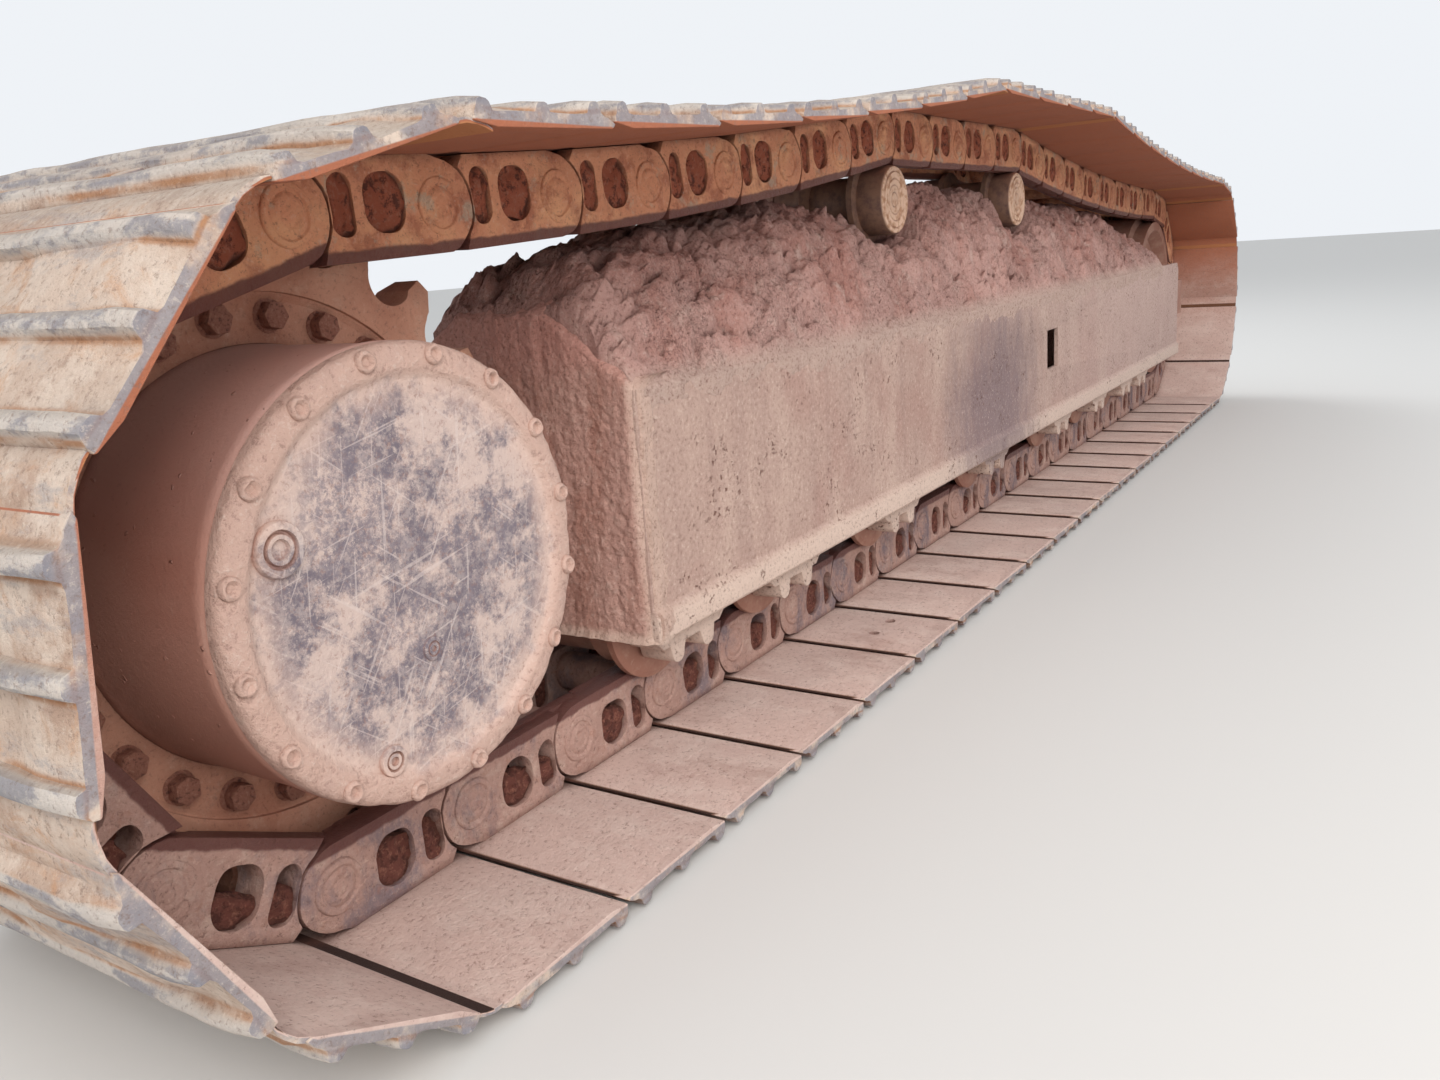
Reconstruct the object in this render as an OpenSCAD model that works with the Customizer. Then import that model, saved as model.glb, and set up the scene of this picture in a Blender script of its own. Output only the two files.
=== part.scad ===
/* [Track chain] */
// Distance from pin to pin of the chain
pitch = 203; // [185:1:216]
// Height of a link from the shoe to the rail face
link_h = 104; // [96:1:120]
// Height of the pin centre above the shoe
pin_h = 54; // [48:1:60]
// Width over the two rows of links
chain_w = 224; // [200:2:250]
// Thickness of one row of links
link_t = 40; // [30:1:50]
// Radius of a bushing
bush_r = 30; // [26:0.5:32]

/* [Shoes] */
// Width of a shoe across the track
shoe_w = 700; // [500:10:800]
// Thickness of a shoe plate
plate_t = 11; // [9:1:16]
// Height of a grouser above its plate
grouser_h = 20; // [10:1:30]
// Width of a grouser at its foot
grouser_w = 26; // [18:1:34]
// Length of the lip that laps under the shoe behind, before the first grouser
lap_l = 20; // [10:1:28]
// Width of a grouser at its worn crest
crest_w = 14; // [8:1:18]

/* [Runs of the track] */
// Links along the ground
links_low = 20; // [16:1:24]
// Links around the idler
links_idler = 5; // [5:1:5]
// Links from the idler to the front carrier roller
links_front = 8; // [7:1:10]
// Links between the carrier rollers
links_mid = 4; // [3:1:6]
// Links from the rear carrier roller to the sprocket
links_rear = 7; // [5:1:9]
// Links around the sprocket
links_sprocket = 5; // [5:1:5]
// Share of its length by which a free span hangs slack
slack = 0.0006; // [0.0002:0.0001:0.003]

/* [Sprocket and final drive] */
// Number of sprocket teeth, two to a link
teeth = 21; // [19:2:23]
// How far the teeth stand out past the pitch circle
tooth_tip = 28; // [18:1:30]
// Width of the sprocket's toothed rim
sprocket_w = 62; // [50:1:72]
// Radius of the sprocket's bolt circle
sprocket_bolt_r = 253; // [250:1:256]
// Radius of the drum of the final drive
drum_r = 224; // [200:1:226]
// Distance from the middle of the chain to the outer face of the final drive
drive_reach = 246; // [230:1:280]
// Thickness of the end cover
cover_t = 16; // [12:1:20]
// Width of the screwed rim around the end cover
cover_rim = 27; // [20:1:32]

/* [Idler and rollers] */
// Radius of the idler's treads
idler_r = 280; // [265:1:290]
// Radius of the track rollers' treads
roller_r = 84; // [74:1:88]
// Height of a track roller's outer flange above its tread
flange_h = 16; // [12:1:20]
// Radius of the carrier rollers' treads
carrier_r = 66; // [58:1:72]
// Height of the carrier rollers' axles above the ground
carrier_z = 780; // [765:1:800]

/* [Track frame] */
// Half the width of the frame over its side plates
frame_half = 212; // [205:1:225]
// Thickness of the frame's plates
wall = 12; // [8:1:16]
// Height of the lower edge of the side plates above the ground
skirt_z = 212; // [200:1:218]
// Height of the shoulder where the side plates end and the roof starts
shoulder_z = 546; // [510:1:560]
// Height of the roof's flat ridge
ridge_z = 640; // [600:1:650]
// Half the width of the ridge
ridge_half = 75; // [50:1:110]
// Distance from the sprocket axle to the frame's rear end plate
frame_rear = 402; // [398:1:440]
// Distance from the frame's front end back to the idler's axle
frame_front_back = 62; // [20:1:120]
// Height of the rounded bead along the lower edge of the side plates
bead_h = 46; // [30:1:60]
// How far the bead stands out of the side plates
bead_out = 8; // [4:1:12]
// Length of the access hole in the outer side plate
access_l = 98; // [60:1:140]
// Height of the access hole
access_h = 98; // [60:1:130]

/* [Car body joint] */
// Distance from the middle of the chain to the bolted faces of the two stubs
stub_reach = 385; // [360:1:450]
// Width of a stub's flange along the track
stub_w = 460; // [360:10:560]
// Height of a stub's flange
stub_h = 250; // [200:10:260]
// Radius of a bolt hole in a flange
stub_hole_r = 14; // [10:0.5:18]
// Distance from a bolt hole to the flange's edges
stub_hole_edge = 25; // [22:1:30]

/* [Hidden] */

$fn = 64;
// Clearance between pieces that bear on each other, and where they only pass
seat = 0.3;
gap = 1;

// Heights above the ground and radii that follow from the chain
low_pin_z = grouser_h + plate_t + pin_h;
rail_h = link_h - pin_h;
rail_z = grouser_h + plate_t + link_h;
sprocket_r = pitch / (2 * sin(360 / teeth));
sprocket_turn = 720 / teeth;
idler_chord_r = idler_r + rail_h + seat;
idler_pin_r = norm([idler_chord_r, pitch / 2]);
idler_turn = 2 * atan(pitch / (2 * idler_chord_r));
idler_z = low_pin_z + idler_chord_r;
hump_pin_z = carrier_z + carrier_r + rail_h + seat;

// The pin angle on the sprocket is found so that the loop closes on whole links
function sprocket_z(lead) = low_pin_z + sprocket_r * cos(lead);
function sprocket_pin(lead, k) =
    let (a = lead + k * sprocket_turn)
    [-sprocket_r * sin(a), sprocket_z(lead) - sprocket_r * cos(a)];
function idler_x_at(lead) = (links_low - 0.5) * pitch - sprocket_r * sin(lead);
function idler_pin(lead, k) =
    let (a = (k + 0.5) * idler_turn)
    [idler_x_at(lead) + idler_pin_r * sin(a), idler_z - idler_pin_r * cos(a)];
function hump_rear(lead) =
    let (top = sprocket_pin(lead, links_sprocket), chord = links_rear * pitch * (1 - slack))
    [top[0] + sqrt(chord * chord - pow(hump_pin_z - top[1], 2)), hump_pin_z];
function hump_front(lead) = hump_rear(lead) + [links_mid * pitch, 0];
function front_excess(lead) =
    norm(idler_pin(lead, links_idler) - hump_front(lead)) - links_front * pitch * (1 - slack);
function find_lead(low, high, steps) =
    let (mid = (low + high) / 2)
    steps == 0 ? mid
    : front_excess(mid) > 0 ? find_lead(mid, high, steps - 1)
    : find_lead(low, mid, steps - 1);
lead = find_lead(-20, 30, 40);

sprocket_axle_z = sprocket_z(lead);
idler_x = idler_x_at(lead);

// A free span of whole links between two pins, hanging as a shallow arc
function arc_excess(chord, count, bend) =
    bend < 0.0001 ? count * pitch - chord : pitch * sin(count * bend / 2) / sin(bend / 2) - chord;
function find_bend(chord, count, low, high, steps) =
    let (mid = (low + high) / 2)
    steps == 0 ? mid
    : arc_excess(chord, count, mid) > 0 ? find_bend(chord, count, mid, high, steps - 1)
    : find_bend(chord, count, low, mid, steps - 1);
function walk(start, headings, k) =
    k == 0 ? start
    : walk(start, headings, k - 1) + pitch * [cos(headings[k - 1]), sin(headings[k - 1])];
function span(start, end, count) =
    let (chord = norm(end - start), base = atan2(end[1] - start[1], end[0] - start[0]),
        bend = find_bend(chord, count, 0, 60 / count, 30),
        headings = [for (j = [0:count - 1]) base + ((count - 1) / 2 - j) * bend])
    [for (k = [0:count - 1]) walk(start, headings, k)];

low_pins = [for (k = [0:links_low - 1]) sprocket_pin(lead, 0) + [k * pitch, 0]];
idler_pins = [for (k = [0:links_idler - 1]) idler_pin(lead, k)];
front_pins = span(idler_pin(lead, links_idler), hump_front(lead), links_front);
mid_pins = [for (k = [0:links_mid - 1]) hump_front(lead) - [k * pitch, 0]];
rear_pins = span(hump_rear(lead), sprocket_pin(lead, links_sprocket), links_rear);
sprocket_pins = [for (k = [0:links_sprocket - 1]) sprocket_pin(lead, links_sprocket - k)];
pins = concat(low_pins, idler_pins, front_pins, mid_pins, rear_pins, sprocket_pins);
shoes = len(pins);

// A point beside link i: u along the link from its pin, v outwards from the pin line
function heading(i) =
    let (a = pins[i], b = pins[(i + 1) % shoes]) atan2(b[1] - a[1], b[0] - a[0]);
function beside(i, p) =
    let (a = heading(i))
    pins[i] + p[0] * [cos(a), sin(a)] + p[1] * [sin(a), -cos(a)];
function ring(profile) = [for (i = [0:shoes - 1]) for (p = profile) beside(i, p)];

// Profile of one shoe, u along the chain: plate, lapping lip and three grousers
shoe_back = -0.085 * pitch;
shoe_lip = 0.765 * pitch;
shoe_end = 0.905 * pitch;
lip_drop = 6;
lip_t = 5;
first_foot = shoe_back + lap_l;
last_foot = shoe_end - grouser_w;
grouser_feet = [first_foot, (first_foot + last_foot) / 2, last_foot];
plate_face = pin_h + plate_t;
crest_face = plate_face + grouser_h;
function grouser(foot) =
    let (side = (grouser_w - crest_w) / 2)
    [[foot, plate_face], [foot + side, crest_face], [foot + grouser_w - side, crest_face],
        [foot + grouser_w, plate_face]];
shoe_outer = concat([[shoe_back, pin_h + lip_t]], [for (foot = grouser_feet) for (p = grouser(foot)) p]);
shoe_inner = [[shoe_back, pin_h], [shoe_lip, pin_h], [shoe_end, pin_h + lip_drop]];
shoe_points = ring(shoe_outer);

// The origin is under the middle of the whole part
x_low = min([for (p = shoe_points) p[0]]);
x_high = max([for (p = shoe_points) p[0]]);
x_mid = (x_low + x_high) / 2;
y_mid = (stub_reach - shoe_w / 2) / 2;

// Places along the track from the sprocket axle
frame_front = idler_x - frame_front_back;
carrier_inset = 0.1 * pitch;
carrier_x = [hump_rear(lead)[0] + carrier_inset, hump_front(lead)[0] - carrier_inset];
roller_first = frame_rear + wall + roller_r + flange_h + 2;
last_roller_back = 548;
roller_last = idler_x - last_roller_back;
roller_share = [0, 0.109, 0.265, 0.462, 0.657, 0.797, 0.919, 1];
roller_x = [for (share = roller_share) roller_first + share * (roller_last - roller_first)];
roller_z = rail_z + roller_r + seat;
tread_in = chain_w / 2 - link_t;
tread_out = chain_w / 2;
flange_in = tread_out + 2;
flange_out = flange_in + 16;
flange_r = roller_r + flange_h;
roller_half = flange_out + 8;
collar_in = roller_half + 2;
collar_out = frame_half - wall - 6;
collar_l = 196;
collar_top = roller_z + 46;
collar_low = roller_z - 60;
roller_shaft_r = 32;
rail_bar_t = 30;

// Idler bearing, yoke and recoil spring, one behind another
idler_hub_half = tread_out + 12;
block_in = idler_hub_half + gap;
block_out = frame_half - wall - gap;
block_half = 62;
block_back = 110;
block_front = 80;
guide_t = 20;
guide_l = 300;
yoke_t = 50;
yoke_half = 55;
yoke_gap = 60;
yoke_back = idler_x - idler_r - yoke_gap - yoke_t;
spring_r = 95;
spring_l = 620;
wire_r = 19;
rod_r = 52;
spring_back = yoke_back - spring_l;
adjuster_l = 380;
adjuster_back = spring_back - adjuster_l;

// Places across the track
cover_y = -drive_reach;
drum_y = cover_y + cover_t;
web_half = sprocket_w / 2 - 10;
web_r = sprocket_bolt_r + 24;
drum_flange_y = web_half + 22;
hub_y = drum_flange_y + seat;
hub_t = 42;
bracket_y = hub_y + hub_t;
bracket_t = 40;
motor_y = bracket_y + bracket_t;
hub_r = 188;
access_x = 0.569 * idler_x;
access_z = (skirt_z + shoulder_z) / 2 + 25;
stub_x = [0.36 * idler_x, 0.68 * idler_x];
stub_z = (skirt_z + shoulder_z) / 2;
stub_t = 30;
stub_inset = 50;
stub_drop = 40;

module place() { translate([-x_mid, -y_mid, 0]) children(); }

// Turns a profile drawn in X and Z into a slab from y0 to y1
module slab(y0, y1) { translate([0, y1, 0]) rotate([90, 0, 0]) linear_extrude(y1 - y0) children(); }
// A round bar along Y
module bar(x, z, r, y0, y1) { translate([x, y1, z]) rotate([90, 0, 0]) cylinder(h = y1 - y0, r = r); }
// Revolves a profile drawn as radius and y about an axle along Y
module turned(x, z, profile) {
    translate([x, 0, z]) rotate([-90, 0, 0]) rotate_extrude($fn = 96) polygon(profile);
}

module track_shoes() {
    color([0.72, 0.6, 0.5]) place() slab(-shoe_w / 2, shoe_w / 2) difference() {
        polygon(shoe_points);
        polygon(ring(shoe_inner));
    }
}

// Two rows of links with their bushings
module track_chain() {
    ease = 1;
    link_outer = [[0.04 * pitch, pin_h], [0.8 * pitch, pin_h - ease]];
    link_inner = [[0.1 * pitch, -rail_h], [0.9 * pitch, -rail_h]];
    color([0.45, 0.3, 0.23]) place() {
        for (side = [-1, 1])
            slab(side > 0 ? tread_in : -tread_out, side > 0 ? tread_out : -tread_in) difference() {
                polygon(ring(link_outer));
                polygon(ring(link_inner));
            }
        for (p = pins) translate([p[0], tread_in, p[1]]) rotate([90, 0, 0])
            cylinder(h = 2 * tread_in, r = bush_r, $fn = 6);
    }
}

// Toothed ring: every second gullet holds a bushing, and the teeth taper towards their tips
module sprocket() {
    flare = 30;
    gullet_r = bush_r + 2.5;
    foot = gullet_r - 1.5;
    mouth = foot + 2 * tooth_tip * tan(flare);
    tip_r = sprocket_r + tooth_tip;
    tip_half = sprocket_w / 2 - 12;
    rim_half = sprocket_w / 2;
    color([0.5, 0.35, 0.28]) place() {
        intersection() {
            translate([0, 0, sprocket_axle_z]) slab(-rim_half, rim_half) difference() {
                circle(r = tip_r, $fn = 128);
                circle(r = web_r, $fn = 96);
                for (k = [0:teeth - 1]) rotate(-90 - lead - k * 360 / teeth) translate([sprocket_r, 0]) {
                    circle(r = gullet_r, $fn = 32);
                    polygon([[0, foot], [2 * tooth_tip, mouth], [2 * tooth_tip, -mouth], [0, -foot]]);
                }
            }
            turned(0, sprocket_axle_z, [[web_r - 1, -rim_half - 1], [sprocket_r - 12, -rim_half - 1],
                [tip_r + 1, -tip_half], [tip_r + 1, tip_half], [sprocket_r - 12, rim_half + 1],
                [web_r - 1, rim_half + 1]]);
        }
        turned(0, sprocket_axle_z, [[drum_r + seat, -web_half], [web_r - 8, -web_half],
            [web_r - 2, -web_half - 5], [web_r + 1, -web_half - 5], [web_r + 1, web_half],
            [drum_r + seat, web_half]]);
    }
}

module drive_drum() {
    flange_rim = web_r - 2;
    shoulder = 8;
    color([0.6, 0.4, 0.32]) place() turned(0, sprocket_axle_z, [[0, drum_y], [drum_r, drum_y],
        [drum_r, drum_y + 12], [drum_r - 3, drum_y + 16], [drum_r - 3, -web_half - 12],
        [drum_r, -web_half - shoulder], [drum_r, web_half], [flange_rim, web_half],
        [flange_rim, drum_flange_y], [0, drum_flange_y]]);
}

// End cover: a screwed rim, a recessed face and three threaded plugs, angles from the track's front
module drive_cover() {
    rim_in = drum_r - cover_rim;
    face_y = cover_y + 4;
    // Columns: distance from the axle, angle, radius of the boss, height of the boss
    plugs = [[168, 157.2, 26, 7], [180, 247.4, 17, 6], [76, 270, 13, 3]];
    color([0.5, 0.46, 0.45]) place() {
        turned(0, sprocket_axle_z, [[0, face_y], [rim_in - 4, face_y], [rim_in, cover_y],
            [drum_r - 6, cover_y], [drum_r, cover_y + 5], [drum_r, drum_y], [0, drum_y]]);
        for (p = plugs) difference() {
            bar(p[0] * cos(p[1]), sprocket_axle_z + p[0] * sin(p[1]), p[2], face_y - p[3], face_y + 1);
            bar(p[0] * cos(p[1]), sprocket_axle_z + p[0] * sin(p[1]), p[2] / 2, face_y - p[3] - 1,
                face_y - 1);
        }
    }
}

module drive_hub() {
    color([0.4, 0.28, 0.22]) place() turned(0, sprocket_axle_z, [[0, hub_y], [hub_r - 20, hub_y],
        [hub_r - 20, hub_y + 16], [hub_r, hub_y + 24], [hub_r, bracket_y], [0, bracket_y]]);
}

motor_r = 128;
module drive_bracket() {
    eye_r = 225;
    color([0.62, 0.42, 0.34]) place() slab(bracket_y, bracket_y + bracket_t) difference() {
        union() {
            translate([0, sprocket_axle_z]) circle(r = eye_r, $fn = 96);
            polygon([[0, sprocket_axle_z - eye_r], [frame_rear, skirt_z + wall],
                [frame_rear, shoulder_z], [0, sprocket_axle_z + eye_r]]);
        }
        translate([0, sprocket_axle_z]) circle(r = motor_r + seat, $fn = 64);
    }
}

module travel_motor() {
    barrel_r = 105;
    barrel_end = motor_y + 130;
    color([0.35, 0.3, 0.28]) place() {
        turned(0, sprocket_axle_z, [[0, bracket_y], [motor_r, bracket_y], [motor_r, motor_y + 20],
            [barrel_r, motor_y + 50], [barrel_r, barrel_end], [0, barrel_end]]);
        translate([-90, barrel_end, sprocket_axle_z - 85]) cube([180, 60, 170]);
    }
}

module motor_guard() {
    back = 170;
    low = 150;
    rise = 120;
    color([0.62, 0.42, 0.34]) place() translate([0, 0, sprocket_axle_z]) slab(motor_y, stub_reach - 60)
        difference() {
            translate([-back, -low - wall]) square([back + frame_rear, low + wall + rise]);
            translate([-back + wall, -low]) square([back + frame_rear, low + rise + 1]);
        }
}

// Cross sections of the frame in Y and Z, run along X
module run(x0, x1) { translate([x0, 0, 0]) rotate([90, 0, 90]) linear_extrude(x1 - x0) children(); }
module roof_outline(inset) {
    polygon([[-frame_half + inset, skirt_z - 1], [frame_half - inset, skirt_z - 1],
        [frame_half - inset, shoulder_z - inset / 3], [ridge_half, ridge_z - inset],
        [-ridge_half, ridge_z - inset], [-frame_half + inset, shoulder_z - inset / 3]]);
}

module guides() {
    for (side = [-1, 1]) for (z = [idler_z + block_half, idler_z - block_half - guide_t])
        translate([frame_front - guide_l, side > 0 ? block_in : -frame_half + wall - 1, z])
            cube([guide_l, frame_half - wall + 1 - block_in, guide_t]);
}

// Cross section of the bead that stiffens the lower edge of a side plate
module bead(side) {
    ease = bead_h / 4;
    scale([side, 1]) polygon([[frame_half - 1, skirt_z], [frame_half + bead_out - 4, skirt_z],
        [frame_half + bead_out, skirt_z + 5], [frame_half + bead_out, skirt_z + bead_h - ease],
        [frame_half, skirt_z + bead_h], [frame_half - 1, skirt_z + bead_h]]);
}

module track_frame() {
    nose = idler_x - idler_r - 80;
    nose_cut = 26;
    color([0.66, 0.47, 0.38]) place() guides();
    color([0.66, 0.47, 0.38]) place() difference() {
        union() {
            run(frame_rear, frame_front) difference() {
                intersection() {
                    roof_outline(0);
                    translate([-frame_half, skirt_z]) square([2 * frame_half, ridge_z]);
                }
                roof_outline(wall);
            }
            run(frame_rear, frame_rear + wall) intersection() {
                roof_outline(0);
                translate([-frame_half, skirt_z]) square([2 * frame_half, ridge_z]);
            }
            run(adjuster_back - 20, adjuster_back) intersection() {
                roof_outline(wall - 1);
                translate([-frame_half, roller_z + flange_r + 8]) square([2 * frame_half, ridge_z]);
            }
            for (side = [-1, 1]) {
                translate([frame_rear, side > 0 ? collar_in : -frame_half + wall - 1, collar_top])
                    cube([frame_front - frame_rear, frame_half - wall + 1 - collar_in, rail_bar_t]);
                run(frame_rear, frame_front) bead(side);
            }
        }
        translate([nose, -frame_half + wall, skirt_z - 1])
            cube([frame_front - nose + 1, 2 * (frame_half - wall), ridge_z]);
        translate([nose, -frame_half - 1, shoulder_z])
            cube([frame_front - nose + 1, 2 * frame_half + 2, 200]);
        slab(-frame_half - 1, frame_half + 1)
            polygon([[frame_front - nose_cut, shoulder_z + 1], [frame_front + 1, shoulder_z + 1],
                [frame_front + 1, shoulder_z - nose_cut]]);
        translate([access_x - access_l / 2, -frame_half - 10, access_z - access_h / 2])
            cube([access_l, 10 + 2 * wall, access_h]);
    }
}

// Height of the roof across the frame, and of the clay that lies on it
function roof_z(y) = abs(y) <= ridge_half ? ridge_z
    : ridge_z - (abs(y) - ridge_half) * (ridge_z - shoulder_z) / (frame_half - ridge_half);
clay_rear = frame_rear + 2;
clay_front = idler_x - idler_r - 70;
clay_y = [-frame_half + 2, -178, -140, -ridge_half, 0, ridge_half, 124];
// Share of the heap's height at each of these places across the frame
clay_share = [0.03, 0.36, 0.66, 1, 0.95, 0.8, 0.55];
// Height of the heap's ridge above the ground, by distance from the sprocket axle
clay_ridge = [[402, 640], [470, 730], [700, 752], [800, 778], [1030, 786], [1255, 752], [1330, 790],
    [1722, 818], [2000, 800], [2138, 782], [2700, 770], [3163, 722], [3400, 660], [3600, 640]];
clay_steps = 64;
clay_step = (clay_front - clay_rear) / clay_steps;
carrier_room = carrier_r + 14 + clay_step;
function near_carrier(x) = min([for (c = carrier_x) abs(x - c)]) < carrier_room;
upper_pins = concat(front_pins, mid_pins, rear_pins, [sprocket_pins[0]]);
clay_clear = 14;
function clay_top(x, j) =
    let (y = clay_y[j], low = roof_z(y), lump = 14 * sin(x * 0.93 + 50 * j) * cos(x * 0.41 - 70 * j),
        rise = clay_share[j] * (lookup(x, clay_ridge) - low),
        free = max(low + 4, low + 2 + rise + (j == 0 ? 0 : lump)),
        ceiling = lookup(x, upper_pins) - rail_h - clay_clear,
        under_roller = carrier_z - carrier_r - clay_clear - 10)
    min(free, y > -150 && near_carrier(x) ? under_roller : ceiling);

module packed_clay() {
    rows = [for (i = [0:clay_steps]) clay_rear + i * (clay_front - clay_rear) / clay_steps];
    n = len(clay_y);
    top = [for (x = rows) for (j = [0:n - 1]) [x, clay_y[j], clay_top(x, j)]];
    base = [for (x = rows) for (j = [0:n - 1]) [x, clay_y[j], roof_z(clay_y[j])]];
    half = len(top);
    faces = concat(
        [for (i = [0:clay_steps - 1]) for (j = [0:n - 2]) each
            [[i * n + j, (i + 1) * n + j + 1, (i + 1) * n + j],
                [i * n + j, i * n + j + 1, (i + 1) * n + j + 1]]],
        [for (i = [0:clay_steps - 1]) for (j = [0:n - 2]) each
            [[half + i * n + j, half + (i + 1) * n + j, half + (i + 1) * n + j + 1],
                [half + i * n + j, half + (i + 1) * n + j + 1, half + i * n + j + 1]]],
        [for (i = [0:clay_steps - 1]) each
            [[i * n, (i + 1) * n, half + (i + 1) * n], [i * n, half + (i + 1) * n, half + i * n],
                [i * n + n - 1, half + (i + 1) * n + n - 1, (i + 1) * n + n - 1],
                [i * n + n - 1, half + i * n + n - 1, half + (i + 1) * n + n - 1]]],
        [for (j = [0:n - 2]) each
            [[j, half + j, half + j + 1], [j, half + j + 1, j + 1],
                [clay_steps * n + j, half + clay_steps * n + j + 1, half + clay_steps * n + j],
                [clay_steps * n + j, clay_steps * n + j + 1, half + clay_steps * n + j + 1]]]);
    color([0.66, 0.38, 0.3]) place() polyhedron(points = concat(top, base), faces = faces);
}

module idler() {
    rim_r = idler_r + 20;
    color([0.42, 0.3, 0.24]) place() turned(idler_x, idler_z, [[46, -idler_hub_half], [90, -idler_hub_half],
        [100, -70], [idler_r - 50, -70], [idler_r - 30, -tread_out], [idler_r, -tread_out],
        [idler_r, -tread_in + 4], [rim_r, -tread_in + 14], [rim_r, tread_in - 14], [idler_r, tread_in - 4],
        [idler_r, tread_out], [idler_r - 30, tread_out], [idler_r - 50, 70], [100, 70],
        [90, idler_hub_half], [46, idler_hub_half]]);
}

module idler_axle() {
    color([0.5, 0.45, 0.42]) place() bar(idler_x, idler_z, 45.7, -block_in, block_in);
}

module idler_blocks() {
    color([0.42, 0.3, 0.24]) place() for (side = [-1, 1])
        translate([idler_x - block_back, side > 0 ? block_in : -block_out, idler_z - block_half])
            cube([block_back + block_front, block_out - block_in, 2 * block_half]);
}

module idler_yoke() {
    arm_half = 45;
    color([0.42, 0.3, 0.24]) place() {
        translate([yoke_back, -block_out, idler_z - yoke_half])
            cube([yoke_t, 2 * block_out, 2 * yoke_half]);
        for (side = [-1, 1])
            translate([yoke_back + yoke_t, side > 0 ? block_in : -block_out, idler_z - arm_half])
                cube([idler_x - block_back - yoke_back - yoke_t, block_out - block_in, 2 * arm_half]);
    }
}

module recoil_spring() {
    turns = 9;
    step = (spring_l - 2 * wire_r) / (turns - 1);
    color([0.3, 0.2, 0.16]) place() translate([spring_back, 0, idler_z]) rotate([0, 90, 0]) {
        for (k = [0:turns - 1]) translate([0, 0, wire_r + k * step]) rotate_extrude($fn = 48)
            translate([spring_r - wire_r, 0]) circle(r = wire_r, $fn = 16);
        difference() {
            cylinder(h = spring_l, r = spring_r - wire_r - 4);
            translate([0, 0, -1]) cylinder(h = spring_l + 2, r = rod_r + seat);
        }
    }
}

module track_adjuster() {
    cap_t = 30;
    color([0.4, 0.3, 0.25]) place() translate([spring_back, 0, idler_z]) rotate([0, 90, 0]) {
        cylinder(h = spring_l, r = rod_r);
        translate([0, 0, -cap_t]) cylinder(h = cap_t, r = spring_r + 6);
        translate([0, 0, adjuster_back - spring_back])
            cylinder(h = adjuster_l - cap_t, r = rod_r + 10);
    }
}

bracket_in = tread_out + 16;
bracket_out = bracket_in + 56;
// Carrier roller with a stepped end cap outside and one guiding rim on each tread
module carrier_roller(x) {
    cap = -tread_out - 12;
    color([0.4, 0.27, 0.22]) place() turned(x, carrier_z, [[0, cap + 3], [carrier_r - 40, cap + 3],
        [carrier_r - 37, cap], [carrier_r - 14, cap], [carrier_r - 12, cap + 2], [carrier_r - 6, cap + 2],
        [carrier_r, cap + 8], [carrier_r, -tread_in + 4], [carrier_r + 14, -tread_in + 8],
        [carrier_r + 14, -tread_in + 20], [carrier_r - 16, -tread_in + 28], [carrier_r - 16, tread_in - 28],
        [carrier_r + 14, tread_in - 20], [carrier_r + 14, tread_in - 8], [carrier_r, tread_in - 4],
        [carrier_r, tread_out + 4], [30, tread_out + 6], [30, bracket_in], [0, bracket_in]]);
}
module carrier_roller_rear() { carrier_roller(carrier_x[0]); }
module carrier_roller_front() { carrier_roller(carrier_x[1]); }

module carrier_brackets() {
    color([0.55, 0.38, 0.3]) place() for (x = carrier_x) difference() {
        slab(bracket_in, bracket_out) {
            translate([x, carrier_z]) circle(r = 50);
            polygon([[x - 50, carrier_z], [x - 75, shoulder_z], [x + 75, shoulder_z], [x + 50, carrier_z]]);
        }
        run(x - 100, x + 100) roof_outline(0);
    }
}

// Cast collars that hold the ends of the roller shafts: two feet with a round hollow between them
module roller_collars() {
    half = collar_l / 2;
    foot_x = 38;
    foot_r = 15;
    hollow_r = 22;
    belly = collar_low + 28;
    color([0.55, 0.38, 0.3]) place() for (x = roller_x) {
        for (side = [-1, 1])
            slab(side > 0 ? collar_in : -collar_out, side > 0 ? collar_out : -collar_in) difference() {
                union() {
                    polygon([[x - half, collar_top], [x - half, belly + 22], [x - half + 26, belly],
                        [x + half - 26, belly], [x + half, belly + 22], [x + half, collar_top]]);
                    for (s = [-1, 1]) translate([x + s * foot_x, collar_low + foot_r]) {
                        circle(r = foot_r, $fn = 24);
                        polygon([[-foot_r, 0], [foot_r, 0], [foot_r + 10, 30], [-foot_r - 10, 30]]);
                    }
                }
                translate([x, collar_low - 4]) circle(r = hollow_r, $fn = 32);
            }
        bar(x, roller_z, roller_shaft_r, -collar_in - 1, collar_in + 1);
    }
}

module track_roller(x) {
    bore = roller_shaft_r + 0.3;
    color([0.42, 0.28, 0.22]) place() turned(x, roller_z, [[bore, -roller_half],
        [roller_shaft_r + 24, -roller_half], [flange_r - 8, -flange_out],
        [flange_r, -flange_out + 4], [flange_r, -flange_in - 2],
        [roller_r, -flange_in], [roller_r, -tread_in], [roller_r - 12, -tread_in + 8],
        [roller_r - 12, tread_in - 8], [roller_r, tread_in], [roller_r, flange_in],
        [flange_r, flange_in + 2], [flange_r, flange_out - 4], [flange_r - 8, flange_out],
        [roller_shaft_r + 24, roller_half], [bore, roller_half]]);
}
module track_roller_1() { track_roller(roller_x[0]); }
module track_roller_2() { track_roller(roller_x[1]); }
module track_roller_3() { track_roller(roller_x[2]); }
module track_roller_4() { track_roller(roller_x[3]); }
module track_roller_5() { track_roller(roller_x[4]); }
module track_roller_6() { track_roller(roller_x[5]); }
module track_roller_7() { track_roller(roller_x[6]); }
module track_roller_8() { track_roller(roller_x[7]); }

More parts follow.
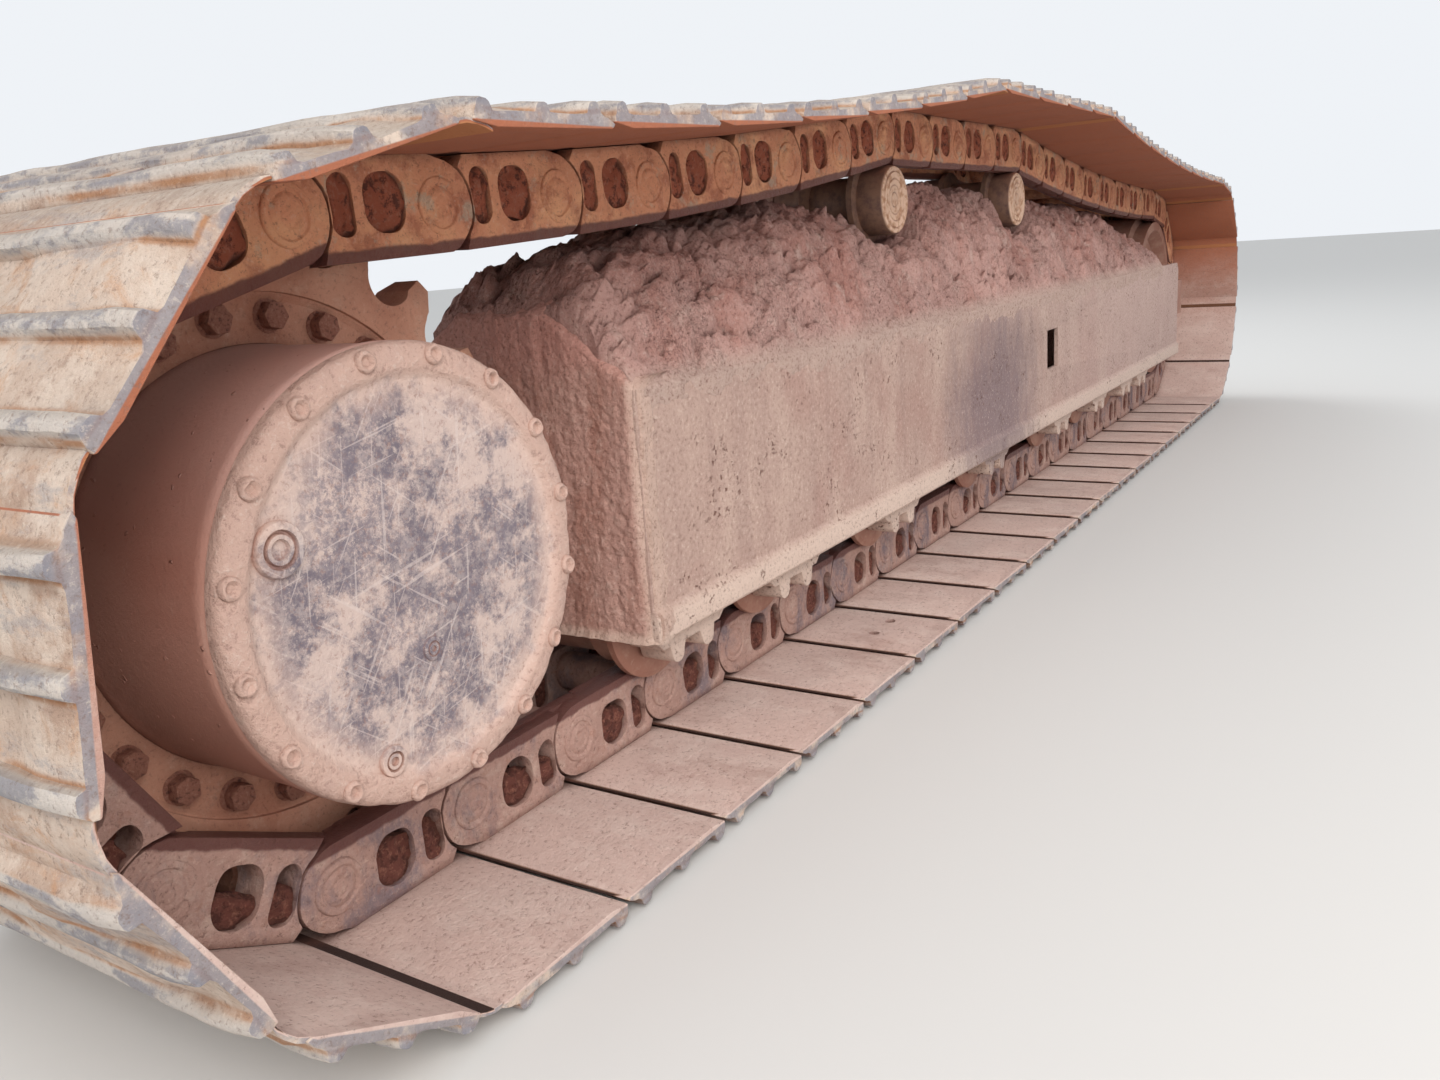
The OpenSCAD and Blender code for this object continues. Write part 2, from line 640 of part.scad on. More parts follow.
// Box stub welded to the inner side plate, with a drilled flange
module stub(x) {
    color([0.62, 0.42, 0.34]) place() difference() {
        union() {
            translate([x - stub_w / 2 + stub_inset, frame_half, stub_z - stub_h / 2 + stub_drop])
                cube([stub_w - 2 * stub_inset, stub_reach - stub_t - frame_half, stub_h - 2 * stub_drop]);
            translate([x - stub_w / 2, stub_reach - stub_t, stub_z - stub_h / 2])
                cube([stub_w, stub_t, stub_h]);
        }
        translate([x - stub_w / 2 + stub_inset + wall, frame_half - 1,
            stub_z - stub_h / 2 + stub_drop + wall])
            cube([stub_w - 2 * (stub_inset + wall), stub_reach - frame_half + 2,
                stub_h - 2 * (stub_drop + wall)]);
        for (sx = [-1, 1]) for (sz = [-1, 1])
            bar(x + sx * (stub_w / 2 - stub_hole_edge), stub_z + sz * (stub_h / 2 - stub_hole_edge),
                stub_hole_r, stub_reach - stub_t - 1, stub_reach + 1);
    }
}
module stub_rear() { stub(stub_x[0]); }
module stub_front() { stub(stub_x[1]); }

track_shoes();
track_chain();
sprocket();
drive_drum();
drive_cover();
drive_hub();
drive_bracket();
travel_motor();
motor_guard();
track_frame();
packed_clay();
idler();
idler_axle();
idler_blocks();
idler_yoke();
recoil_spring();
track_adjuster();
carrier_roller_rear();
carrier_roller_front();
carrier_brackets();
roller_collars();
track_roller_1();
track_roller_2();
track_roller_3();
track_roller_4();
track_roller_5();
track_roller_6();
track_roller_7();
track_roller_8();
stub_rear();
stub_front();
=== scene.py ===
import bpy
import bmesh
from math import asin, atan2, cos, radians, sin, sqrt, tau
from mathutils import Matrix, Vector, noise
from mathutils.bvhtree import BVHTree


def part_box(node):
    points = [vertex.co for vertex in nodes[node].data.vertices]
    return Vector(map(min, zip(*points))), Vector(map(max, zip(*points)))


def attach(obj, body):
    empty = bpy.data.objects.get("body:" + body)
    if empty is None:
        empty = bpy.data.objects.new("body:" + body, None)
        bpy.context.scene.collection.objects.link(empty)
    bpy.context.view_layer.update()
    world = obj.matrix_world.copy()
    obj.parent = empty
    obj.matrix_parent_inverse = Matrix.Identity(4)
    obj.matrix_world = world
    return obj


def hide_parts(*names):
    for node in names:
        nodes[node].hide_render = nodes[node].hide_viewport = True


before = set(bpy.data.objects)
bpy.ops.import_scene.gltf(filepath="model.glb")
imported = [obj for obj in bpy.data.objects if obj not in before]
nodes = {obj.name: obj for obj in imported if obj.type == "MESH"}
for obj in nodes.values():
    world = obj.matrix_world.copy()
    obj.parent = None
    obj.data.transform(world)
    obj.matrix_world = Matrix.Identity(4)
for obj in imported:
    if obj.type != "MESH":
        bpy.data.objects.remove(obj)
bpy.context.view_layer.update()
scene = bpy.context.scene


# ---- Camera ----
# Stands low beside the rear of the track and looks forward along its outer side, tilted a
# little, as the photograph was taken.
CAMERA_BEHIND_AXLE, CAMERA_Y, CAMERA_Z = 0.7406, -1.0763, 0.7081
CAMERA_TURN = (75.718, 3.967, -58.25)


def middle_of(node):
    """The middle of a node's box"""
    low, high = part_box(node)
    return [(a + b) / 2 for a, b in zip(low, high)]


def add_object(name, data):
    thing = bpy.data.objects.new(name, data)
    scene.collection.objects.link(thing)
    return thing


axle_x, _, axle_z = middle_of("drive_drum")
photo_lens = bpy.data.cameras.new("photo_lens")
photo_lens.sensor_fit = "HORIZONTAL"
photo_lens.sensor_width = 36.0
photo_lens.lens = 28.5
photo_lens.clip_start = 0.02
camera = add_object("photo_camera", photo_lens)
camera.location = (axle_x - CAMERA_BEHIND_AXLE, CAMERA_Y, CAMERA_Z)
camera.rotation_euler = [radians(angle) for angle in CAMERA_TURN]
scene.camera = camera
scene.view_settings.view_transform = "Standard"


# ---- Floor and light ----
# A plain pale floor under an even sky, with one broad soft lamp above the outer side, a weaker
# one behind and a faint warm one low down, so that the shadows stay soft.
FLOOR_HALF = 30.0

bm = bmesh.new()
bmesh.ops.create_grid(bm, x_segments=1, y_segments=1, size=FLOOR_HALF)
floor_mesh = bpy.data.meshes.new("floor")
bm.to_mesh(floor_mesh)
bm.free()
floor_paint = bpy.data.materials.new("floor_paint")
floor_paint.use_nodes = True
paint = floor_paint.node_tree.nodes["Principled BSDF"].inputs
paint["Base Color"].default_value = (0.6, 0.59, 0.57, 1)
paint["Roughness"].default_value = 0.9
floor_mesh.materials.append(floor_paint)
add_object("floor", floor_mesh)

sky = bpy.data.worlds.new("even_sky")
scene.world = sky
sky.use_nodes = True
air = sky.node_tree.nodes["Background"].inputs
air["Color"].default_value = (0.93, 0.96, 1.0, 1)
air["Strength"].default_value = 0.93


def soft_lamp(name, place, aim, size, power, colour):
    data = bpy.data.lights.new(name, "AREA")
    data.shape = "SQUARE"
    data.size = size
    data.energy = power
    data.color = colour
    lamp = add_object(name, data)
    lamp.location = place
    lamp.rotation_euler = (Vector(aim) - Vector(place)).to_track_quat("-Z", "Y").to_euler()


soft_lamp("sky_lamp", (-5.0, -4.2, 4.4), (-0.5, 0, 0.4), 4.0, 400, (1.0, 0.97, 0.94))
soft_lamp("back_lamp", (4.0, 4.5, 5.0), (0, 0, 0.5), 4.0, 200, (0.95, 0.97, 1.0))
soft_lamp("low_lamp", (axle_x - 0.4, -2.6, 0.35), (axle_x + 0.5, 0, 0.85), 2.0, 13, (1.0, 0.86, 0.76))


# ---- Track shoes ----
# 49 rolled steel shoes with three grousers each, bolted to the links in one closed loop.
# Their crests are worn round and wavy, the valleys between them hold dry pale clay, and at a
# bent joint a thin lip of each shoe reaches under the shoe behind.
PITCH = 0.203
PIN_HEIGHT = 0.054       # from a pin's middle to the inner face of the shoe
RAIL_HEIGHT = 0.05      # from a pin's middle to the face of the rail
PLATE = 0.011
OUTSIDE = PIN_HEIGHT + PLATE
GROUSER = 0.02
GROUSER_FOOT = 0.017     # half the width of a grouser where it meets the plate
SHOE_WIDTH = 0.7
SHOE_BACK, SHOE_LIP, SHOE_FRONT = -0.085 * PITCH, 0.765 * PITCH, 0.905 * PITCH
LAP = 0.02
LIP_LIFT = 0.0005
CREST_WEAR, END_WEAR, VALLEY_CLAY = 0.005, 0.004, 0.0125
DRILLED_SHOE = 5
HOLE_R, HOLE_DEPTH, HOLES_Y, HOLES_X = 0.0095, 0.009, -0.24, (0.06, 0.131)
BOLTS_X, BOLTS_Y = (0.3 * PITCH, 0.62 * PITCH), (-0.092, 0.092)
LINKS_LOW, LINKS_IDLER, LINKS_FRONT, LINKS_TOP, LINKS_REAR, LINKS_SPROCKET = 20, 5, 8, 4, 7, 5
TEETH = 21
TREAD_GROOVE = 0.014     # how far the carrier rollers' rims stand over their treads
ON_TREAD, SLACK = 0.0003, 0.0006

chain_y = middle_of("track_chain")[1]
idler_x, _, idler_z = middle_of("idler")
carrier_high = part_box("carrier_roller_rear")[1]


def wheel_pin(x, z, radius, angle):
    """A pin on a wheel, the angle counted from straight down towards the front"""
    return Vector((x + radius * sin(angle), z - radius * cos(angle)))


def hanging_run(start, end, count):
    """Pins from start up to, but not with, end, on a shallow hanging arc"""
    slack = max(0.0, 1 - (end - start).length / (count * PITCH))
    bend = sqrt(24 * slack / (count * count - 1))
    aim = atan2(end.y - start.y, end.x - start.x)
    pins = [start]
    for k in range(count - 1):
        angle = aim + ((count - 1) / 2 - k) * bend
        pins.append(pins[-1] + PITCH * Vector((cos(angle), sin(angle))))
    return pins


def loop_of_pins():
    """The chain's pins as (x, z), from under the sprocket forward and round"""
    sprocket_r = PITCH / (2 * sin(tau / TEETH))
    lead = asin(((LINKS_LOW - 0.5) * PITCH - (idler_x - axle_x)) / sprocket_r)
    chord_r = idler_z - (GROUSER + PLATE + PIN_HEIGHT)
    idler_r = sqrt(chord_r * chord_r + PITCH * PITCH / 4)
    idler_turn = 2 * atan2(PITCH / 2, chord_r)
    sprocket = [wheel_pin(axle_x, axle_z, sprocket_r, -lead - k * 2 * tau / TEETH)
                for k in range(LINKS_SPROCKET + 1)]
    idler = [wheel_pin(idler_x, idler_z, idler_r, (k + 0.5) * idler_turn) for k in range(LINKS_IDLER + 1)]
    low = [sprocket[0] + Vector((k * PITCH, 0)) for k in range(LINKS_LOW)]
    hump_z = carrier_high.z - TREAD_GROOVE + RAIL_HEIGHT + ON_TREAD
    chord = LINKS_REAR * PITCH * (1 - SLACK)
    hump_rear = Vector((sprocket[-1].x + sqrt(chord ** 2 - (hump_z - sprocket[-1].y) ** 2), hump_z))
    hump_front = hump_rear + Vector((LINKS_TOP * PITCH, 0))
    top = [hump_front - Vector((k * PITCH, 0)) for k in range(LINKS_TOP)]
    return (low + idler[:-1] + hanging_run(idler[-1], hump_front, LINKS_FRONT) + top
            + hanging_run(hump_rear, sprocket[-1], LINKS_REAR) + sprocket[:0:-1])


pins = loop_of_pins()
link_places = []
for here, ahead in zip(pins, pins[1:] + pins[:1]):
    along = (ahead - here).normalized()
    # Columns: along the chain, towards the inner side, away from the loop
    link_places.append(Matrix(((along.x, 0, along.y, here.x), (0, 1, 0, chain_y),
                               (along.y, 0, -along.x, here.y), (0, 0, 0, 1))))

ACROSS = Matrix.Rotation(radians(90), 4, "X")


def at(x, y, z):
    return Matrix.Translation((x, y, z))


def share_of(value):
    """The value, kept between 0 and 1"""
    return min(1.0, max(0.0, value))


# Blender seeds its vector noise from the clock unless it is given a seed
noise.seed_set(3)


def lump(point, size, octaves=3):
    """Noise from about -1 to 1 whose waves are about size long"""
    return noise.fractal(Vector(point) / size, 0.6, 2.1, octaves)


def roughen(verts, *waves):
    """Moves points about a little. Waves: how far, how long"""
    for v in verts:
        v.co += sum((height * noise.noise_vector(v.co / size) for height, size in waves), Vector())


def new_points(grown):
    return [v for v in grown["geom"] if isinstance(v, bmesh.types.BMVert)]


def add_profile(bm, outline, start, reach):
    """Extrudes a closed outline from start along reach, both ends closed"""
    face = bm.faces.new([bm.verts.new(Vector(start) + Vector(point)) for point in outline])
    grown = bmesh.ops.extrude_face_region(bm, geom=[face])
    bmesh.ops.translate(bm, verts=new_points(grown), vec=Vector(reach))


def add_disc(bm, sides, foot_r, top_r, height, place):
    """A closed disc or cone round the Z axis of its place, which lies at half its height"""
    bmesh.ops.create_cone(bm, cap_ends=True, segments=sides, radius1=foot_r, radius2=top_r,
                          depth=height, matrix=place)


def bevel(bm, edges, width, segments):
    bmesh.ops.bevel(bm, geom=edges, offset=width, affect="EDGES", segments=segments, profile=0.5,
                    material=-1, clamp_overlap=True)


def soften(bm, width, angle=40, segments=2):
    """Rounds every edge that is sharper than the angle"""
    bevel(bm, [e for e in bm.edges if len(e.link_faces) == 2 and e.calc_face_angle(0) > radians(angle)],
          width, segments)


def stamp(bm, pattern, place):
    """Adds a copy of a pattern mesh at a place and gives back its new points"""
    before = len(bm.verts)
    bm.from_mesh(pattern)
    bm.verts.ensure_lookup_table()
    fresh = bm.verts[before:]
    bmesh.ops.transform(bm, matrix=place, verts=fresh)
    return fresh


def pattern_mesh(bm, name):
    mesh = bpy.data.meshes.new(name)
    bmesh.ops.recalc_face_normals(bm, faces=bm.faces)
    bm.to_mesh(mesh)
    bm.free()
    return mesh


def place_piece(name, bm, material, stands_for=(), smooth=35):
    """Makes the finished mesh a piece of the track unit"""
    mesh = pattern_mesh(bm, name)
    mesh.shade_smooth()
    mesh.set_sharp_from_angle(angle=radians(smooth))
    mesh.materials.append(material)
    piece = add_object(name, mesh)
    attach(piece, "root")
    if stands_for:
        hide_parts(*stands_for)


class Finish:
    """A material laid on coat by coat. A cloud is a value, or else what grain() takes to make one"""

    def __init__(self, name, colour, roughness):
        self.material = bpy.data.materials.new(name)
        self.material.use_nodes = True
        self.tree = self.material.node_tree
        self.shader = self.tree.nodes["Principled BSDF"]
        self.shader.inputs["Roughness"].default_value = roughness
        self.shader.inputs["Specular IOR Level"].default_value = 0.3
        self.object_place = self.node("TexCoord").outputs["Object"]
        self.colour = (*colour, 1)

    def node(self, kind, inputs=(), **settings):
        made = self.tree.nodes.new("ShaderNode" + kind)
        for key, value in settings.items():
            setattr(made, key, value)
        for key, value in dict(inputs).items():
            if isinstance(value, bpy.types.NodeSocket):
                self.tree.links.new(value, made.inputs[key])
            else:
                made.inputs[key].default_value = value
        return made

    def mapped(self, place, **settings):
        """A place that is moved, turned or stretched"""
        return self.node("Mapping", {"Vector": place, **settings}).outputs[0]

    def grain(self, size, detail=4.0, rough=0.6, stretch=(1, 1, 1), warp=0.0):
        """Cloudy noise from 0 to 1, its spots about size metres wide"""
        place = self.mapped(self.object_place, Scale=stretch)
        return self.node("TexNoise", {"Vector": place, "Scale": 1 / size, "Detail": detail,
                                      "Roughness": rough, "Distortion": warp}).outputs["Fac"]

    def cloud(self, cloud):
        return cloud if isinstance(cloud, bpy.types.NodeSocket) else self.grain(*cloud)

    def cracks(self, size, width, stretch):
        """1 on a net of thin lines about size apart, 0 elsewhere"""
        wobble = self.node("TexNoise", {"Vector": self.object_place, "Scale": 1.6 / size,
                                        "Detail": 3.0}).outputs["Color"]
        place = self.node("VectorMath", {0: wobble, 1: wobble, 2: self.object_place},
                          operation="MULTIPLY_ADD").outputs[0]
        net = self.node("TexVoronoi", {"Vector": self.mapped(place, Scale=stretch), "Scale": 1 / size},
                        feature="DISTANCE_TO_EDGE")
        return self.step(net.outputs["Distance"], width, 0.0)

    def step(self, cloud, low, high):
        """0 where the cloud is at low, 1 at high, a soft ramp between"""
        return self.node("MapRange", {"Value": self.cloud(cloud), "From Min": low, "From Max": high},
                         interpolation_type="SMOOTHSTEP").outputs["Result"]

    def math(self, operation, a, b):
        return self.node("Math", {0: a, 1: b}, operation=operation).outputs[0]

    def times(self, *values):
        """The product of two or more values"""
        product = values[-1]
        for value in values[-2::-1]:
            product = self.math("MULTIPLY", value, product)
        return product

    def coat(self, colour, cover, strength=1.0):
        """Lays a colour over what is there, as much as cover says"""
        if strength != 1.0:
            cover = self.times(cover, strength)
        if not isinstance(colour, bpy.types.NodeSocket):
            colour = (*colour, 1)
        mixed = self.node("Mix", {0: cover, 6: self.colour, 7: colour}, data_type="RGBA")
        self.colour = mixed.outputs[2]

    def spots(self, colour, cloud, low, high, strength=1.0, *masks):
        """Lays a colour where a cloud passes from low to high, and only where every mask is"""
        self.coat(colour, self.times(*masks, self.step(cloud, low, high)), strength)

    def axis_part(self, vector, axis):
        return self.node("SeparateXYZ", {0: vector}).outputs["XYZ".index(axis)]

    def facing(self, axis, low, high):
        """How far the surface faces an axis, as a soft step"""
        return self.step(self.axis_part(self.node("NewGeometry").outputs["Normal"], axis), low, high)

    def level(self, axis, low, high):
        """Where the surface lies along an axis, as a soft step between two places"""
        return self.step(self.axis_part(self.object_place, axis), low, high)

    def reach(self, x, z, stretch=(1, 0, 1)):
        """How far the surface lies from a line across the track"""
        moved = self.mapped(self.object_place, Location=(-x, 0, -z), Scale=stretch)
        return self.node("VectorMath", {0: moved}, operation="LENGTH").outputs["Value"]

    def hollow(self, reach, low, high):
        """1 in corners and gaps, 0 on open faces"""
        return self.step(self.node("AmbientOcclusion", {"Distance": reach}, samples=6).outputs["AO"],
                         high, low)

    def attribute(self, name):
        return self.node("Attribute", attribute_name=name).outputs["Fac"]

    def gloss(self, cover, rough_there):
        """Changes the roughness to rough_there as much as cover says"""
        socket = self.shader.inputs["Roughness"]
        mixed = self.node("Mix", {0: cover, 2: socket.default_value, 3: rough_there},
                          data_type="FLOAT")
        self.tree.links.new(mixed.outputs[0], socket)

    # Paints shade: lays the dark brown in corners and gaps, as far as the occlusion mask finds them
    def paint_hollow_shade(self, reach, low, high, strength):
        self.coat(HOLLOW_SHADE, self.hollow(reach, low, high), strength)

    def done(self, *bumps):
        """Closes the material. Bumps: a cloud, and how high it stands in metres"""
        height = None
        for cloud, high in bumps:
            part = self.times(self.cloud(cloud), high)
            height = self.math("ADD", height, part) if height else part
        self.tree.links.new(self.colour, self.shader.inputs["Base Color"])
        bump = self.node("Bump", {"Height": height, "Distance": 1.0, "Strength": 1.0})
        self.tree.links.new(bump.outputs[0], self.shader.inputs["Normal"])
        return self.material


CLAY_RED = (0.34, 0.15, 0.1)
# The dark brown below is painted shade, laid in corners and gaps
HOLLOW_SHADE = (0.15, 0.06, 0.042)

# What the shoes' attribute "side" says: over 0 the share of the grousers' height, and else
INNER_FACE, JOINT_RUST_AND_SHADE = -1.0, -2.0


def shoe_pattern():
    """One shoe, its length along X from the pin, its outside towards +Z"""
    first, last = SHOE_BACK + LAP + 0.013, SHOE_FRONT - 0.013
    outline = [(SHOE_BACK, 0, PIN_HEIGHT + 0.004), (SHOE_BACK + 0.006, 0, PIN_HEIGHT + 0.0075),
               (SHOE_BACK + 0.011, 0, OUTSIDE - 0.001)]
    for middle in (first, (first + last) / 2, last):
        # Columns: distance from the grouser's middle, share of its height
        for u, share in ((-GROUSER_FOOT, 0.0), (-0.011, 0.25), (-0.0075, 0.86), (-0.004, 1.0), (0.004, 1.0),
                         (0.0075, 0.86), (0.011, 0.25), (0.013 if middle == last else GROUSER_FOOT, 0.0)):
            outline.append((middle + u, 0, OUTSIDE + share * GROUSER))
        if middle != last:
            valley = (last - first) / 2 - 2 * GROUSER_FOOT
            outline += [(middle + GROUSER_FOOT + valley * part, 0, OUTSIDE + 0.0002) for part in (0.3, 0.7)]
    outline += [(SHOE_FRONT, 0, PIN_HEIGHT + 0.006), (SHOE_LIP, 0, PIN_HEIGHT),
                (SHOE_BACK + 0.005, 0, PIN_HEIGHT)]
    bm = bmesh.new()
    add_profile(bm, outline, (0, -SHOE_WIDTH / 2, 0), (0, SHOE_WIDTH, 0))
    corners = [e for e in bm.edges if abs(e.verts[0].co.y - e.verts[1].co.y) < 1e-6
               and (max(v.co.x for v in e.verts) < SHOE_BACK + 0.0055
                    or min(v.co.x for v in e.verts) > SHOE_FRONT - 1e-6)]
    bevel(bm, corners, 0.012, 3)
    long_edges = [e for e in bm.edges if abs(e.verts[0].co.y - e.verts[1].co.y) > SHOE_WIDTH / 2]
    bmesh.ops.subdivide_edges(bm, edges=long_edges, cuts=26, use_grid_fill=True)
    soften(bm, 0.0022, 60, 1)
    side = bm.verts.layers.float.new("side")
    for v in bm.verts:
        up = v.co.z - PIN_HEIGHT
        v[side] = (v.co.z - OUTSIDE) / GROUSER if up > 0.003 else INNER_FACE
        # The rear edge's chamfer takes the joint's rust, and painted shade on the lower run
        if v.co.x < SHOE_BACK + 0.003 and 0.001 < up < 0.006 and abs(v.co.y) < SHOE_WIDTH / 2 - 0.014:
            v[side] = JOINT_RUST_AND_SHADE
        if v.co.x > SHOE_FRONT - 0.014 and up < 0.0075:
            v[side] = INNER_FACE
    return pattern_mesh(bm, "shoe_pattern")


def bolt_head_pattern(radius, height):
    """A hexagon head on a washer, its foot at the origin and its top towards +Z"""
    bm = bmesh.new()
    add_disc(bm, 20, radius * 1.22, radius * 1.12, height * 0.16, at(0, 0, height * 0.08))
    add_disc(bm, 6, radius, radius, height, at(0, 0, height / 2))
    soften(bm, height * 0.12)
    return pattern_mesh(bm, "bolt_head_pattern")


def lap_lip_pattern(dark_from, longest=0.04):
    """The thin curved lip that reaches under the shoe behind, its tip rusty where the joint opens and
    painted near black there as shade on the lower run
    """
    # Columns: distance back from the shoe's edge, drop of the inner face, thickness
    rows = [row for row in ((-0.004, 0.0, 0.005), (0.0005, 0.0002, 0.005), (0.0075, 0.001, 0.005),
                            (0.009, 0.0013, 0.005), (0.021, 0.0055, 0.005), (0.024, 0.0072, 0.005),
                            (0.03, 0.0105, 0.0045), (0.037, 0.0155, 0.003)) if row[0] < longest]
    inner = PIN_HEIGHT + LIP_LIFT
    outline = [(SHOE_BACK - back, 0, inner - drop) for back, drop, _ in rows]
    outline += [(SHOE_BACK - back, 0, inner - drop + thick) for back, drop, thick in reversed(rows)]
    bm = bmesh.new()
    add_profile(bm, outline, (0, 0.003 - SHOE_WIDTH / 2, 0), (0, SHOE_WIDTH - 0.006, 0))
    bmesh.ops.recalc_face_normals(bm, faces=bm.faces)
    side = bm.verts.layers.float.new("side")
    for face in bm.faces:
        if face.normal.z < -0.5:
            for v in face.verts:
                v[side] = INNER_FACE if v.co.x > SHOE_BACK - dark_from else JOINT_RUST_AND_SHADE
    return pattern_mesh(bm, "lap_lip_pattern")


def drilled_copy(shoe):
    """The shoe with two round blind holes in the inner face of its outer half"""
    bm = bmesh.new()
    for x in HOLES_X:
        add_disc(bm, 20, HOLE_R, HOLE_R, 0.1, at(x, HOLES_Y, PIN_HEIGHT + HOLE_DEPTH - 0.05))
    body, drill = add_object("drilled_shoe", shoe.copy()), add_object("drill", pattern_mesh(bm, "drill"))
    holes = body.modifiers.new("holes", "BOOLEAN")
    holes.object, holes.solver = drill, "EXACT"
    drilled = bpy.data.meshes.new_from_object(body.evaluated_get(bpy.context.evaluated_depsgraph_get()))
    for thing in (body, drill):
        bpy.data.objects.remove(thing)
    # The boolean leaves it to chance what the new points' attribute says
    for v, side in zip(drilled.vertices, drilled.attributes["side"].data):
        if (v.co.z < PIN_HEIGHT + HOLE_DEPTH + 0.0005 and abs(v.co.y - HOLES_Y) < HOLE_R + 0.0005
                and min(abs(v.co.x - x) for x in HOLES_X) < HOLE_R + 0.0005):
            side.value = INNER_FACE
    return drilled


def bends_at(number):
    """How far the chain turns from the link before to this one"""
    before, here = link_places[number - 1].col[0], link_places[number].col[0]
    return before.xyz.angle(here.xyz)


def wear_shoe_point(local, number):
    """Rounds and waves the crests, fills the valleys level with clay, roughens the inner face"""
    wear = 0.5 + 0.5 * lump((local.x * 3 + number * 7.3, local.y, local.z), 0.16)
    rise = local.z - OUTSIDE
    end = SHOE_WIDTH / 2 - abs(local.y)
    if rise > -0.0005 and SHOE_BACK + LAP < local.x < SHOE_FRONT - 0.002:
        share = rise / GROUSER
        local.z -= share * (0.0005 + CREST_WEAR * share_of(wear) + END_WEAR * max(0, 1 - end / 0.03))
        local.x += share * 0.0025 * lump((number * 3.1, local.y, 0), 0.11)
        clay = 0.6 + 0.8 * lump((local.x + number * 0.4, local.y, 4), 0.15, 2)
        if local.x < SHOE_FRONT - 0.02:
            clay = VALLEY_CLAY * share_of(clay) * min(1, max(0.25, end / 0.045))
            local.z = max(local.z, OUTSIDE + clay)
    elif local.z < PIN_HEIGHT + 0.001:
        local.z += 0.0012 * wear


def worn_shoes():
    bm = bmesh.new()
    bm.verts.layers.float.new("side")
    shoe = shoe_pattern()
    drilled = drilled_copy(shoe)
    # Columns: least bend of the joint in degrees, the lip that it gets
    lips = ((30, lap_lip_pattern(0.0225)), (20, lap_lip_pattern(0.008)), (10, lap_lip_pattern(-0.006)),
            (5, lap_lip_pattern(-0.006, 0.022)))
    bolt = bolt_head_pattern(0.014, 0.012)
    for number, place in enumerate(link_places):
        back = place.inverted()
        for v in stamp(bm, drilled if number == DRILLED_SHOE else shoe, place):
            local = back @ v.co
            wear_shoe_point(local, number)
            v.co = place @ local
        for x in BOLTS_X:
            for y in BOLTS_Y:
                stamp(bm, bolt, place @ at(x, y, OUTSIDE))
        lip = next((lip for least, lip in lips if bends_at(number) > radians(least)), None)
        if lip:
            stamp(bm, lip, place)
    return bm


steel = Finish("shoe_steel", (0.44, 0.3, 0.225), 0.88)
side = steel.attribute("side")
crest, inner = steel.step(side, 0.35, 0.8), steel.step(side, -0.75, -0.96)
blotch, grit = steel.grain(0.16, 5, 0.62), steel.grain(0.0065, 6, 0.8)
steel.spots((0.6, 0.465, 0.375), blotch, 0.36, 0.58)
steel.spots((0.68, 0.565, 0.475), (0.06, 7, 0.72), 0.42, 0.62, 0.85)
steel.spots((0.54, 0.285, 0.15), (0.07, 7, 0.72, (1, 1, 1), 0.6), 0.5, 0.68, 0.7)
steel.spots((0.245, 0.13, 0.085), (0.04, 8, 0.78), 0.58, 0.68, 0.5)
steel.spots((0.33, 0.31, 0.32), (0.05, 8, 0.75, (1, 0.35, 1)), 0.52, 0.64, 0.55)
foot = steel.times(steel.step(side, 0.03, 0.22), steel.step(side, 0.6, 0.35))
steel.spots((0.4, 0.18, 0.075), (0.07, 6, 0.6, (1, 0.5, 1)), 0.4, 0.56, 0.8, foot)
steel.coat((0.56, 0.52, 0.48), crest, 0.78)
steel.spots((0.225, 0.22, 0.25), (0.045, 7, 0.7, (1, 0.5, 1)), 0.46, 0.56, 0.75, crest)
steel.spots((0.225, 0.215, 0.245), (0.05, 6), 0.34, 0.52, 0.8, steel.facing("Y", -0.5, -0.9))
# Painted shade: the shoes' outer faces that face up are darkened
steel.spots((0.34, 0.285, 0.24), side, -0.5, -0.1, 0.6, steel.facing("Z", 0.5, 0.95))
steel.spots((0.68, 0.58, 0.48), grit, 0.54, 0.66, 0.4)
steel.spots((0.19, 0.115, 0.085), grit, 0.47, 0.36, 0.5)
# The inner face: an even coat of fine clay, redder and darker on the upper run
low_run = steel.level("Z", 0.62, 0.22)
flat_clay = steel.node("Mix", {0: low_run, 6: (0.385, 0.13, 0.066, 1),
                                         7: (0.61, 0.44, 0.385, 1)}, data_type="RGBA").outputs[2]
steel.coat(flat_clay, inner, 0.97)
steel.spots((0.68, 0.53, 0.465), (0.06, 8, 0.75, (1, 0.5, 1)), 0.45, 0.62, 0.7, inner, low_run)
steel.spots((0.46, 0.3, 0.255), (0.11, 7, 0.7, (1, 0.6, 1)), 0.52, 0.66, 0.6, inner, low_run)
steel.spots((0.24, 0.145, 0.115), grit, 0.46, 0.35, 0.65, inner)
steel.spots((0.68, 0.54, 0.475), grit, 0.56, 0.67, 0.5, inner, low_run)
# The joint's strips: rusty orange-brown, and on the lower run near black, painted as the shade of an open
# joint
strip = steel.step(side, -1.2, -1.8)
steel.coat((0.46, 0.19, 0.08), strip, 0.9)
steel.coat((0.04, 0.02, 0.016), steel.times(strip, low_run))
# Painted shade in the shoes' corners and gaps
steel.paint_hollow_shade(0.035, 0.2, 0.7, 0.8)
steel_finish = steel.done((grit, 0.0028), ((0.025, 6, 0.7), 0.0035), (blotch, 0.002))
place_piece("shoe_plates", worn_shoes(), steel_finish, ["track_shoes"])


# ---- Track links ----
# Two rows of forged links, mirror images of each other. Each link's rear boss stands proud and
# laps over the end of the link behind, with the pin pressed into it. Two oval windows give
# room for the shoe nuts, and red clay is packed into them.
PIN_R, BUSHING_R = 0.027, 0.03
LINK_OUT, LINK_IN = 0.112, 0.072
